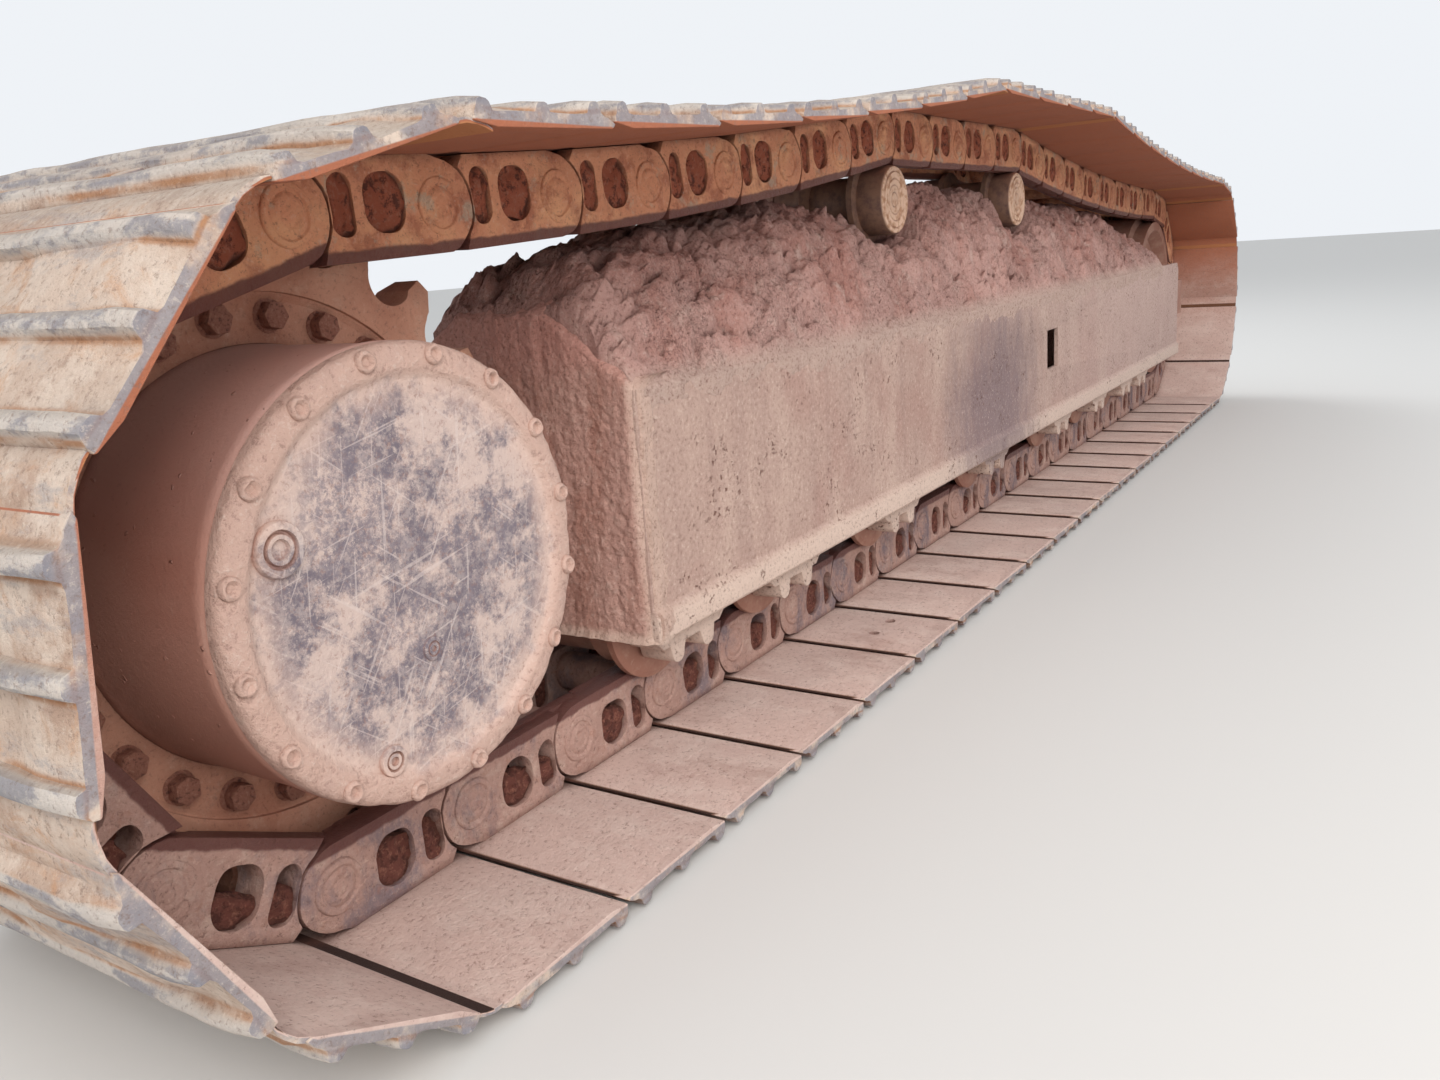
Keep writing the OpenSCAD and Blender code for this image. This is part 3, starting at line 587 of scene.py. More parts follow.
# A window's rear end, front end and corner radius
WINDOWS = ((0.051, 0.106, 0.024), (0.12, 0.151, 0.015))
WINDOW_TOP, WINDOW_FOOT = -0.025, 0.039
WINDOWS_Y = 0.092
UPPER_RUN_Z = 0.45
# How wide each ring on a pin's end is, and how far it is pushed in
PIN_RINGS = ((0.004, 0.0), (0.002, 0.0016), (0.002, 0.0), (0.003, -0.0022), (0.005, -0.0006),
             (0.002, 0.001), (0.0018, 0.0), (0.002, -0.0008), (0.003, 0.0))


def arc(x, z, radius, start, end, steps=8):
    """Points round a centre, the angle counted from the shoe's side towards the front"""
    angles = [radians(start + (end - start) * k / steps) for k in range(steps + 1)]
    return [(x + radius * sin(angle), 0, z + radius * cos(angle)) for angle in angles]


def window_outline(rear, front, radius):
    return (arc(front - radius, WINDOW_FOOT - radius, radius, 0, 90)
            + arc(front - radius, WINDOW_TOP + radius, radius, 90, 180)
            + arc(rear + radius, WINDOW_TOP + radius, radius, 180, 270)
            + arc(rear + radius, WINDOW_FOOT - radius, radius, 270, 360))


def closed_loop(bm, points):
    verts = [bm.verts.new(point) for point in points]
    return [bm.edges.new((a, b)) for a, b in zip(verts, verts[1:] + verts[:1])]


def add_plate(bm, outlines, y_from, y_to):
    """A flat plate with holes, between two places across the chain"""
    edges = [e for outline in outlines for e in closed_loop(bm, outline)]
    filled = bmesh.ops.triangle_fill(bm, edges=edges, use_beauty=True, use_dissolve=False)
    faces = [f for f in filled["geom"] if isinstance(f, bmesh.types.BMFace)]
    bmesh.ops.translate(bm, verts=list({v for f in faces for v in f.verts}), vec=(0, y_from, 0))
    grown = bmesh.ops.extrude_face_region(bm, geom=faces)
    bmesh.ops.translate(bm, verts=new_points(grown), vec=(0, y_to - y_from, 0))


def add_rings(bm, out, rows, even_offset=True):
    """Cuts rings into the face that lies farthest out. Rows: how wide a ring is, how far it moves"""
    face = max(bm.faces, key=lambda f: f.calc_center_median().dot(Vector(out)))
    for width, depth in rows:
        bmesh.ops.inset_region(bm, faces=[face], thickness=width, use_even_offset=even_offset)
        bmesh.ops.translate(bm, verts=face.verts, vec=Vector(out) * depth)


def link_pattern(mirrored):
    bm = bmesh.new()
    windows = [window_outline(*window) for window in WINDOWS]
    # The proud outer half ends in the round boss; the inner half reaches under the next boss
    outer_half = (arc(0, 0, RAIL_HEIGHT, 180, 355, 14) + [(0.01, 0, PIN_HEIGHT), (0.158, 0, PIN_HEIGHT)]
                  + arc(PITCH, 0, RAIL_HEIGHT + 0.004, 318, 232) + [(0.168, 0, -RAIL_HEIGHT)])
    add_plate(bm, [outer_half] + windows, -LINK_OUT, -0.086)
    soften(bm, 0.009, 50)
    inner_half = bmesh.new()
    web = (arc(PITCH, 0, 0.043, 20, 165)
           + [(0.178, 0, -RAIL_HEIGHT + 0.004), (0.02, 0, -RAIL_HEIGHT + 0.004),
              (0.02, 0, PIN_HEIGHT), (0.15, 0, PIN_HEIGHT), (0.168, 0, 0.046)])
    add_plate(inner_half, [web] + windows, -0.09, -LINK_IN)
    rail = bmesh.new()
    add_profile(rail, [(0.031, 0, -RAIL_HEIGHT), (0.231, 0, -RAIL_HEIGHT), (0.223, 0, -0.029),
                       (0.031, 0, -0.029)], (0, -0.094, 0), (0, 0.094 - LINK_IN, 0))
    soften(rail, 0.004)
    # The pin's grooved end, pressed into the boss and just proud of it
    pin = bmesh.new()
    add_disc(pin, 28, PIN_R + 0.007, PIN_R + 0.004, 0.01, at(0, -LINK_OUT + 0.0025, 0) @ ACROSS)
    soften(pin, 0.002)
    add_rings(pin, (0, -1, 0), [(width, -depth) for width, depth in PIN_RINGS])
    for part in (inner_half, rail, pin):
        half = bpy.data.meshes.new("link_part")
        part.to_mesh(half)
        part.free()
        bm.from_mesh(half)
    worn = bm.verts.layers.float.new("worn")
    for v in bm.verts:
        v[worn] = v.co.z
    if mirrored:
        bmesh.ops.scale(bm, vec=(1, -1, 1), verts=bm.verts)
    return pattern_mesh(bm, "link_pattern")


def link_row(mirrored):
    bm = bmesh.new()
    bm.verts.layers.float.new("worn")
    link = link_pattern(mirrored)
    for place in link_places:
        roughen(stamp(bm, link, place), (0.002, 0.03))
    return bm


def packed_windows():
    """Crumbled clay in the windows: full on the upper run, slumped on the lower run"""
    plug = bmesh.new()
    bmesh.ops.create_cube(plug, size=2.0)
    bmesh.ops.subdivide_edges(plug, edges=plug.edges[:], cuts=5, use_grid_fill=True)
    for v in plug.verts:
        v.co = v.co.lerp(v.co.normalized() * 1.15, 0.55)
    plug = pattern_mesh(plug, "clay_plug")
    bm = bmesh.new()
    for number, place in enumerate(link_places):
        upper = place.translation.z > UPPER_RUN_Z
        for side in (-1, 1):
            for window, (rear, front, _) in enumerate(WINDOWS):
                full = 0.98 if upper else min(0.95, 0.66 + 0.35 * lump((number * 1.7, side, window), 1.0))
                tall = (WINDOW_FOOT - WINDOW_TOP) * full
                lie = at((rear + front) / 2, side * WINDOWS_Y, WINDOW_FOOT - tall / 2 + 0.001)
                size = Matrix.Diagonal(((front - rear) * 0.56, 0.0175 if upper else 0.014, tall * 0.56, 1))
                roughen(stamp(bm, plug, place @ lie @ size), (0.0065, 0.017), (0.004, 0.007))
    return bm


def bushings():
    bm = bmesh.new()
    for place in link_places:
        add_disc(bm, 24, BUSHING_R, BUSHING_R, 2 * LINK_IN + 0.012, place @ ACROSS)
    return bm


forged = Finish("forged_links", (0.62, 0.275, 0.155), 0.85)
upper_run = forged.level("Z", 0.35, 0.62)
lower_run = forged.math("SUBTRACT", 1.0, upper_run)
forged.coat((0.435, 0.275, 0.23), lower_run, 0.97)
forged.spots((0.74, 0.4, 0.215), (0.08, 6), 0.46, 0.64, 0.6, upper_run)
forged.spots((0.33, 0.105, 0.06), (0.06, 7, 0.7), 0.48, 0.62, 0.65, upper_run)
forged.spots((0.56, 0.42, 0.35), (0.035, 7, 0.75), 0.5, 0.66, 0.5, lower_run)
forged.spots((0.42, 0.385, 0.3), (0.07, 7, 0.75), 0.55, 0.64, 0.6, upper_run)
forged.spots((0.135, 0.12, 0.15), (0.095, 9, 0.7, (1, 1, 0.6)), 0.48, 0.64, 0.72, lower_run)
forged.spots(CLAY_RED, (0.02, 6, 0.75), 0.55, 0.68, 0.4)
grit = forged.grain(0.0055, 6, 0.8)
forged.spots((0.13, 0.065, 0.05), grit, 0.46, 0.35, 0.6)
forged.spots((0.68, 0.49, 0.39), grit, 0.55, 0.66, 0.4)
# Painted shade in the links' corners, windows and gaps
forged.paint_hollow_shade(0.022, 0.25, 0.8, 0.75)
# The attribute "worn" is the height over the pin; the rail's face is rubbed dark and smoother
ragged = forged.math("ADD", forged.attribute("worn"), forged.times(forged.grain(0.03, 5), 0.01))
rail_wear = forged.step(ragged, -0.031, -0.035)
forged.coat((0.125, 0.045, 0.038), rail_wear, 0.92)
forged.gloss(rail_wear, 0.38)
forged_finish = forged.done((grit, 0.0024), ((0.022, 6), 0.004))

crumbs = Finish("packed_crumbs", (0.5, 0.145, 0.08), 0.95)
crumbs.coat((0.235, 0.08, 0.058), crumbs.math("SUBTRACT", 1.0, crumbs.level("Z", 0.35, 0.62)))
crumbs.spots((0.56, 0.25, 0.165), (0.009, 6, 0.78), 0.5, 0.64, 0.6)
crumbs.spots((0.1, 0.035, 0.027), (0.012, 6, 0.75), 0.49, 0.4, 0.8)
# Painted shade in the hollows between the crumbs
crumbs.paint_hollow_shade(0.015, 0.25, 0.8, 0.8)

place_piece("links_outer_row", link_row(False), forged_finish, ["track_chain"])
place_piece("links_inner_row", link_row(True), forged_finish, ["track_chain"])
place_piece("chain_bushings", bushings(), forged_finish, ["track_chain"])
crumbs_finish = crumbs.done(((0.0055, 6, 0.8), 0.008), ((0.012, 6, 0.75), 0.016))
place_piece("window_clay", packed_windows(), crumbs_finish)


# ---- Sprocket ----
# A cast toothed ring, held to the turning drum by a circle of 24 hexagon bolts on washers.
# Its web is coated with dry dust; its teeth, bare and worn where the bushings roll, get the same dusty
# finish here.
SPROCKET_BOLT_R = 0.253
SPROCKET_BOLTS = 24
SPROCKET_BOLT_START = 96.9
WEB_OUT = 0.021          # how far the web's outer face lies outside the chain's middle


def cad_copy(node, width):
    """The node's own solid with its edges rounded"""
    bm = bmesh.new()
    bm.from_mesh(nodes[node].data)
    bmesh.ops.remove_doubles(bm, verts=bm.verts, dist=1e-5)
    bmesh.ops.dissolve_limit(bm, angle_limit=radians(1), verts=bm.verts, edges=bm.edges)
    soften(bm, width, 28)
    return bm


def on_wheel(radius, degrees_round, y):
    """A place on the drive's axle whose Z axis points out of the outer side"""
    angle = radians(degrees_round)
    return (at(axle_x + radius * cos(angle), y, axle_z + radius * sin(angle))
            @ ACROSS @ Matrix.Rotation(angle, 4, "Z"))


bm = bmesh.new()
ring_bolt = bolt_head_pattern(0.0155, 0.017)
for k in range(SPROCKET_BOLTS):
    turned = SPROCKET_BOLT_START + k * 360 / SPROCKET_BOLTS
    stamp(bm, ring_bolt, on_wheel(SPROCKET_BOLT_R, turned, chain_y - WEB_OUT + 0.001))
roughen(bm.verts, (0.0012, 0.012))

rusted = Finish("rusted_bolts", (0.38, 0.165, 0.115), 0.85)
rust_grit = (0.0055, 6, 0.78)
rusted.spots((0.55, 0.32, 0.24), rust_grit, 0.52, 0.66, 0.6)
rusted.spots((0.1, 0.05, 0.042), rust_grit, 0.48, 0.38, 0.7)
place_piece("sprocket_bolts", bm, rusted.done((rust_grit, 0.0045)))

cast = Finish("dusty_casting", (0.58, 0.3, 0.205), 0.82)
cast.spots((0.45, 0.195, 0.125), (0.12, 5), 0.42, 0.62, 0.8)
cast.spots((0.64, 0.42, 0.31), (0.03, 6, 0.7), 0.5, 0.72, 0.5)
grit = cast.grain(0.005, 6, 0.8)
cast.spots((0.2, 0.09, 0.065), grit, 0.46, 0.35, 0.5)
cast.spots((0.68, 0.49, 0.39), grit, 0.56, 0.67, 0.35)
cast.spots((0.14, 0.095, 0.09), (0.05, 6, 0.75), 0.62, 0.74, 0.4)
# Painted shade in the ring's corners and round its bolts
cast.paint_hollow_shade(0.04, 0.15, 0.7, 0.7)
cast_finish = cast.done((grit, 0.0018), ((0.03, 5), 0.0025))
place_piece("toothed_ring", cad_copy("sprocket", 0.0022), cast_finish, ["sprocket"])


# ---- Final drive ----
# A large cast drum that turns with the sprocket, closed by a screwed cover with a raised rim.
# The cover's face is scraped down to dark steel, and dry pale clay lies over the rest.
DRUM_R = 0.224
RIM_IN = DRUM_R - 0.027
FLANGE_R = 0.274
COVER = 0.016
RIM_SCREWS, RIM_SCREW_R = 16, 0.212
# Plugs in the cover: distance from the axle, angle, radius, height, the socket's share
PLUGS = ((0.168, 157.2, 0.026, 0.006, 0.42), (0.18, 247.4, 0.016, 0.005, 0.35),
         (0.076, 270.0, 0.013, 0.002, 0.3))
SCRATCH_TILTS = (12, 55, -38, 83)

face_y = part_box("drive_cover")[0].y + 0.007


def turn(bm, profile, x, z, steps):
    """Spins an open outline of (radius, y) points about an axle across the track"""
    verts = [bm.verts.new((x + radius, y, z)) for radius, y in profile]
    edges = [bm.edges.new(pair) for pair in zip(verts, verts[1:])]
    bmesh.ops.spin(bm, geom=verts + edges, cent=(x, 0, z), axis=(0, 1, 0), dvec=(0, 0, 0), angle=tau,
                   steps=steps, use_merge=True, use_duplicate=False)
    bmesh.ops.remove_doubles(bm, verts=bm.verts, dist=1e-5)


def from_face(start, rows):
    """An outline whose y is counted from start"""
    return [(radius, start + y) for radius, y in rows]


def screws_and_plugs():
    """The screws in the cover's rim and the plugs in its face"""
    bm = bmesh.new()
    screw = bmesh.new()
    add_disc(screw, 24, 0.0115, 0.0095, 0.007, at(0, 0, 0.001))
    soften(screw, 0.0022)
    add_rings(screw, (0, 0, 1), [(0.0038, -0.004)])
    screw = pattern_mesh(screw, "rim_screw")
    for k in range(RIM_SCREWS):
        stamp(bm, screw, on_wheel(RIM_SCREW_R, 10 + k * 360 / RIM_SCREWS, face_y))
    for distance, angle, radius, height, socket in PLUGS:
        plug = bmesh.new()
        add_disc(plug, 36, radius, radius * 0.93, height + 0.006, at(0, 0, (height - 0.006) / 2))
        soften(plug, 0.0015)
        flat = radius * 0.93 - 0.0015
        # Columns: width of the next ring as a share of the flat top, and how far it is moved out
        rows = ((0.22, 0), (0.05, -height * 0.8), (0.1, 0), (0.05, height * 0.7), (0.58 - socket, 0),
                (0.05, -0.004))
        add_rings(plug, (0, 0, 1), [(share * flat, depth) for share, depth in rows], False)
        stamp(bm, pattern_mesh(plug, "cover_plug"), on_wheel(distance, angle, face_y + 0.004))
    return bm


cover = screws_and_plugs()
turn(cover, from_face(face_y, (
    (0, 0.004), (RIM_IN - 0.04, 0.004), (RIM_IN - 0.012, 0.0045), (RIM_IN - 0.005, 0.0035),
    (RIM_IN - 0.001, 0), (RIM_IN + 0.003, -0.0005), (DRUM_R - 0.009, 0), (DRUM_R - 0.004, 0.002),
    (DRUM_R - 0.0008, 0.006), (DRUM_R, 0.01), (DRUM_R, COVER), (DRUM_R - 0.0015, COVER + 0.001),
    (DRUM_R - 0.0015, COVER + 0.003), (0, COVER + 0.003))), axle_x, axle_z, 160)
# Clay is caked on the rim and its screws
for v in cover.verts:
    reach = sqrt((v.co.x - axle_x) ** 2 + (v.co.z - axle_z) ** 2)
    caked = 0.0015 * lump(v.co, 0.02) * share_of((reach - RIM_IN) / 0.006)
    if v.co.y < face_y + COVER:
        v.co.y += 0.0012 * lump((v.co.x, v.co.z, 0), 0.05) + caked
        if reach > DRUM_R - 0.006:
            v.co -= Vector((v.co.x - axle_x, 0, v.co.z - axle_z)) / reach * abs(caked)

scraped = Finish("scraped_cover", (0.15, 0.125, 0.15), 0.62)
scraped.spots((0.36, 0.3, 0.29), (0.01, 8, 0.8), 0.44, 0.58, 0.75)
scraped.spots((0.56, 0.435, 0.385), (0.06, 9, 0.78), 0.44, 0.58, 0.9)
scraped.spots((0.17, 0.145, 0.175), (0.006, 6, 0.8), 0.42, 0.58, 0.7, scraped.step((0.09, 5), 0.52, 0.62))
for tilt in SCRATCH_TILTS:
    # Long thin straight lines, turned by tilt about the axle
    turned = scraped.mapped(scraped.object_place, Rotation=(0, radians(tilt), 0))
    lines = scraped.node("TexNoise", {"Vector": scraped.mapped(turned, Scale=(1, 1, 26)), "Scale": 10.0,
                                      "Detail": 1.0, "Roughness": 0.4})
    scraped.spots((0.58, 0.49, 0.46), lines.outputs["Fac"], 0.7, 0.73, 0.45)
near_rim = scraped.step(scraped.reach(axle_x, axle_z), 0.15, 0.196)
on_rim = scraped.step(scraped.reach(axle_x, axle_z), 0.186, 0.2)
scraped.spots((0.58, 0.42, 0.355), (0.045, 7, 0.7), 0.3, 0.55, 1.0, near_rim)
scraped.coat((0.55, 0.365, 0.3), on_rim, 0.85)
grit = scraped.grain(0.008, 6, 0.8)
scraped.spots((0.68, 0.55, 0.48), grit, 0.55, 0.66, 0.5)
scraped.spots((0.26, 0.15, 0.125), grit, 0.47, 0.36, 0.55)
scraped.coat(CLAY_RED, scraped.hollow(0.01, 0.35, 0.8), 0.6)
caked = scraped.times(scraped.grain(0.016, 6, 0.7), on_rim)
place_piece("scraped_cover", cover, scraped.done((grit, 0.0022), (caked, 0.004)), ["drive_cover"])

painted = Finish("dusty_drum", (0.49, 0.225, 0.165), 0.62)
painted.spots((0.56, 0.305, 0.24), (0.3, 4, 0.6, (1, 0.4, 1)), 0.38, 0.62)
painted.coat((0.6, 0.4, 0.325), painted.level("Y", chain_y - 0.2, chain_y - 0.262), 0.55)
painted.coat((0.68, 0.455, 0.4), painted.facing("Z", 0.05, 0.95), 0.8)
painted.spots((0.64, 0.47, 0.385), (0.01, 5, 0.6, (1, 1, 0.2)), 0.6, 0.75, 0.25)
# Painted shade: the drum's faces that turn down are darker
painted.coat((0.28, 0.12, 0.085), painted.facing("Z", -0.1, -0.9), 0.45)
painted.spots((0.3, 0.15, 0.115), (0.007, 5, 0.7), 0.58, 0.72, 0.35)
# Painted shade in the drum's corners and gaps
painted.paint_hollow_shade(0.05, 0.2, 0.6, 0.7)

drum = bmesh.new()
outer_end = ((0, 0), (DRUM_R - 0.004, 0), (DRUM_R - 0.001, 0.002), (DRUM_R, 0.006), (DRUM_R, 0.016),
             (DRUM_R - 0.002, 0.024))
inner_end = ((DRUM_R - 0.0022, -0.045), (DRUM_R - 0.0005, -0.031), (DRUM_R, -0.026), (DRUM_R, 0.0215),
             (FLANGE_R, 0.0215), (FLANGE_R, 0.043), (0, 0.043))
turn(drum, from_face(face_y + COVER, outer_end) + from_face(chain_y, inner_end), axle_x, axle_z, 160)
drops = painted.step((0.012, 1), 0.72, 0.78)
painted_finish = painted.done(((0.005, 5, 0.7), 0.0008), ((0.08, 3), 0.001), (drops, 0.002))
place_piece("drum_shell", drum, painted_finish, ["drive_drum"])


# ---- Track frame ----
# A welded steel box with a sloped roof and an open bottom. Its plates are coated with grainy
# dry clay, rubbed bare in one dark patch, and a thick rough crust hangs on the rear end.
FRAME_HALF, RIDGE_HALF = 0.212, 0.075
SKIRT, SHOULDER, RIDGE = 0.212, 0.546, 0.64
BEAD_TOP, BEAD_OUT = 0.258, 0.008
FRONT_CORNER_R = 0.03
PATCH_X, PATCH_Z = 1.8, 0.36     # how far before the axle and how high the rubbed patch lies
CRUST = 0.007
CRUST_TOP = 0.016        # how far the crust reaches over the roof's edge
CORNER_SHARE = 0.08      # the share of the crust's columns that wrap round the outer corner

frame_low, frame_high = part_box("track_frame")
plate_y = chain_y - FRAME_HALF


def roof(y):
    """Height of the roof plates across the frame"""
    slope = share_of((FRAME_HALF - abs(y - chain_y)) / (FRAME_HALF - RIDGE_HALF))
    return SHOULDER + (RIDGE - SHOULDER) * slope


plate = Finish("clay_dusted_plate", (0.44, 0.305, 0.255), 0.9)
plate.spots((0.395, 0.24, 0.2), (0.35, 4), 0.42, 0.62, 0.7)
plate.spots((0.53, 0.385, 0.32), (0.12, 7, 0.65, (1, 1, 0.55)), 0.45, 0.68, 0.7)
plate.spots((0.33, 0.215, 0.185), (0.03, 6, 0.6, (1, 1, 0.08)), 0.52, 0.66, 0.3)
plate.coat((0.6, 0.43, 0.385), plate.level("X", -0.4, 1.3), 0.5)
plate.coat((0.7, 0.55, 0.46), plate.level("Z", BEAD_TOP + 0.004, BEAD_TOP - 0.018), 0.75)
patch_reach = plate.reach(axle_x + PATCH_X, PATCH_Z, (0.85, 0, 1.1))
patch_edge = plate.math("ADD", patch_reach, plate.times(plate.grain(0.05, 8, 0.8, (1, 1, 0.3)), 0.42))
rubbed = plate.times(plate.step(patch_edge, 0.56, 0.28), plate.facing("Y", -0.6, -0.9))
plate.coat((0.185, 0.13, 0.145), rubbed, 0.8)
grit = plate.grain(0.0066, 6, 0.82)
plate.spots((0.24, 0.145, 0.12), grit, 0.48, 0.36, 0.7)
plate.spots((0.7, 0.56, 0.48), grit, 0.54, 0.66, 0.5)
pits = plate.times(plate.step((0.0075, 3, 0.5), 0.61, 0.67), plate.step((0.11, 3), 0.47, 0.62))
plate.coat((0.16, 0.075, 0.055), pits, 0.85)
# Painted shade in corners and under the heap's overhang, everywhere but the last few centimetres of the
# rear end
plate.coat(HOLLOW_SHADE, plate.times(plate.hollow(0.03, 0.1, 0.6),
                                  plate.level("X", frame_low.x + 0.03, frame_low.x + 0.06)), 0.6)
plate_finish = plate.done((grit, 0.0034), ((0.03, 6, 0.65), 0.003), (pits, -0.0025))

bm = cad_copy("track_frame", 0.003)
front_top = [e for e in bm.edges if min(v.co.x for v in e.verts) > frame_high.x - 0.004
             and min(v.co.z for v in e.verts) > SHOULDER - 0.004 and e.calc_length() > 0.05]
bevel(bm, front_top, FRONT_CORNER_R, 4)
place_piece("box_frame", bm, plate_finish, ["track_frame"])


def sheet(columns, rows, point_at):
    """A fine sheet whose points lie where point_at(across, up) says, and the points of its drawn out rim"""
    bm = bmesh.new()
    bmesh.ops.create_grid(bm, x_segments=columns, y_segments=rows, size=0.5)
    for v in bm.verts:
        v.co = point_at(v.co.x + 0.5, v.co.y + 0.5)
    return bm, new_points(bmesh.ops.extrude_edge_only(bm, edges=[e for e in bm.edges if e.is_boundary]))


def crust_point(across, up):
    """The crust is a fine sheet: its first columns wrap round the corner, its top leans in"""
    wrap = max(0.0, 1 - across / CORNER_SHARE)
    y = plate_y - 0.001 + max(0.0, across - CORNER_SHARE) / (1 - CORNER_SHARE) * (2 * FRAME_HALF + 0.002)
    z = SKIRT + 0.001 + up * (roof(y) - SKIRT + CRUST_TOP)
    ridges = lump((y + 0.05 * z, z * 0.1, 3), 0.03)
    swell, crumbly = lump((y, z, 5), 0.11, 2), lump((y, z, 9), 0.014, 4)
    thick = CRUST * (0.8 + 0.22 * ridges + 0.35 * swell + 0.3 * crumbly)
    lip = 0.006 * max(0.0, 1 - (z - SKIRT) / 0.012)
    corner = max(0.0, 1 - (y - plate_y) / 0.014)
    lean = max(0.0, 1 - (roof(y) + CRUST_TOP - z) / CRUST_TOP)
    z += 0.007 * lean * lump((y, 7, z), 0.03)
    x = frame_low.x - thick - lip + 0.01 * corner ** 2 + 0.03 * lean ** 2
    if wrap:
        x += 0.046 * wrap ** 1.3
        y -= (BEAD_OUT * share_of((BEAD_TOP - z) / 0.01) + 0.0035 + 0.003 * lump((x, z, 2), 0.03)
              - 0.01 * wrap ** 2)
    return x, y, z


bm, rim = sheet(200, 190, crust_point)
bmesh.ops.translate(bm, verts=rim, vec=(0.004, 0.004, 0))

crust = Finish("clay_crust", (0.54, 0.325, 0.27), 0.95)
crust.spots((0.43, 0.22, 0.17), (0.05, 6, 0.6, (1, 1, 0.3)), 0.45, 0.65, 0.8)
crust.spots((0.62, 0.43, 0.365), (0.02, 7, 0.7), 0.5, 0.7, 0.6)
crust.coat((0.64, 0.49, 0.4), crust.level("Z", SKIRT + 0.02, SKIRT + 0.004), 0.7)
# Painted highlight: the crust is paler along its outer corner
crust.coat((0.62, 0.47, 0.385), crust.level("Y", plate_y + 0.016, plate_y + 0.002), 0.65)
crust.coat((0.57, 0.285, 0.235), crust.level("Z", SHOULDER - 0.01, RIDGE - 0.03), 0.75)
grit = crust.grain(0.005, 6, 0.82)
crust.spots((0.19, 0.09, 0.068), grit, 0.48, 0.36, 0.7)
crust.spots((0.68, 0.53, 0.45), grit, 0.55, 0.67, 0.45)
# Painted shade in the hollows of the crust's rear face
crust.coat(HOLLOW_SHADE, crust.times(crust.hollow(0.02, 0.3, 0.85), crust.facing("X", -0.3, -0.7)), 0.7)
crust_finish = crust.done((grit, 0.0038), ((0.022, 6, 0.7, (1, 1, 0.45)), 0.006))
place_piece("rear_end_crust", bm, crust_finish, smooth=60)


# ---- Heaped clay ----
# Dry red clay that lies heaped on the frame's roof under the upper run. It has set in rounded
# clods with cracks and shadowed creases between them, finer crumbs over all; its cracks and hollows are
# also painted dark as shade.
HANG_SHARE, HANG = 0.09, 0.06     # the share of the rows that hang over the shoulder, and how far
REAR_REACH = 0.55        # how far the rougher rear end of the heap reaches

heap_low, heap_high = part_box("packed_clay")
heap_solid = bmesh.new()
heap_solid.from_mesh(nodes["packed_clay"].data)
heap_tree = BVHTree.FromBMesh(heap_solid)
heap_solid.free()


def clod(point, size):
    """Rounded lumps packed together: 1 on their tops, 0 in the cracks between them"""
    point = Vector(point)
    near = noise.voronoi(point / size + 0.45 * noise.noise_vector(point / (size * 0.7)))[0]
    return sqrt(min(1.0, 2.6 * (near[1] - near[0])))


def crumb(point, size, few):
    """A rounded loose clod where there is one, its height from 0 to 1"""
    near, spots = noise.voronoi(Vector(point) / size)
    if noise.cell(spots[0] * 37.0) < few:
        return 0.0
    dome = max(0.0, 1 - (near[0] / 0.62) ** 2)
    return dome * (2 - dome)


def heap_point(along, across):
    """The first rows hang over the shoulder, the rest lie on the solid and are roughened"""
    x = heap_low.x + 0.001 + along * (heap_high.x - heap_low.x - 0.002)
    hang = max(0.0, 1 - across / HANG_SHARE)
    y = plate_y + max(0.0, across - HANG_SHARE) / (1 - HANG_SHARE) * (heap_high.y - plate_y - 0.001)
    if hang:
        proud = 0.0035 + 0.0035 * lump((x, hang * 0.05, 1), 0.07, 4) - 0.009 * hang ** 1.5
        return x, y - proud, SHOULDER + 0.003 - HANG * hang
    hit = heap_tree.ray_cast(Vector((x, y, 2.0)), Vector((0, 0, -1)))[0]
    z = hit.z if hit else roof(y) + 0.003
    place = (x, y, z)
    rough = share_of((z - roof(y)) / 0.03)
    rear_end = max(0.0, 1 - (x - heap_low.x) / REAR_REACH)
    broken = share_of(0.5 + 1.8 * lump(place, 0.25, 2) + rear_end)
    lift = (0.014 * lump(place, 0.17) + 0.004 * lump(place, 0.05)
            + (0.02 * clod(place, 0.105) - 0.014) * broken + 0.009 * clod(place, 0.042) - 0.008
            + 0.0045 * crumb(place, 0.018, 0.35)) * rough
    lift += 0.002 * lump(place, 0.012) * (0.5 + 0.5 * rough)
    out = y - 0.3 * lift + 0.006 * lump((y, z, x), 0.05, 2) * rough
    return (x + 0.004 * lump((z, x, y), 0.05, 2) * rough, min(heap_high.y, max(plate_y - 0.003, out)),
            max(roof(y) + 0.001, z + lift))


bm, rim = sheet(470, 200, heap_point)
for v in rim:
    v.co = (v.co.x, max(v.co.y, plate_y + 0.004), min(v.co.z, roof(v.co.y) - 0.006))

heaped = Finish("heaped_clay", (0.58, 0.345, 0.298), 0.95)
heaped.spots((0.48, 0.225, 0.182), (0.2, 9, 0.76), 0.47, 0.6, 0.8)
heaped.spots((0.68, 0.49, 0.425), (0.05, 8, 0.72), 0.5, 0.68, 0.7)
heaped.coat((0.54, 0.385, 0.325), heaped.level("Z", SHOULDER + 0.035, SHOULDER - 0.005))
above = heaped.level("Z", SHOULDER - 0.01, SHOULDER + 0.04)
grit = heaped.grain(0.006, 6, 0.82)
heaped.spots((0.2, 0.09, 0.07), grit, 0.48, 0.36, 0.8)
heaped.spots((0.72, 0.57, 0.49), grit, 0.54, 0.66, 0.5)
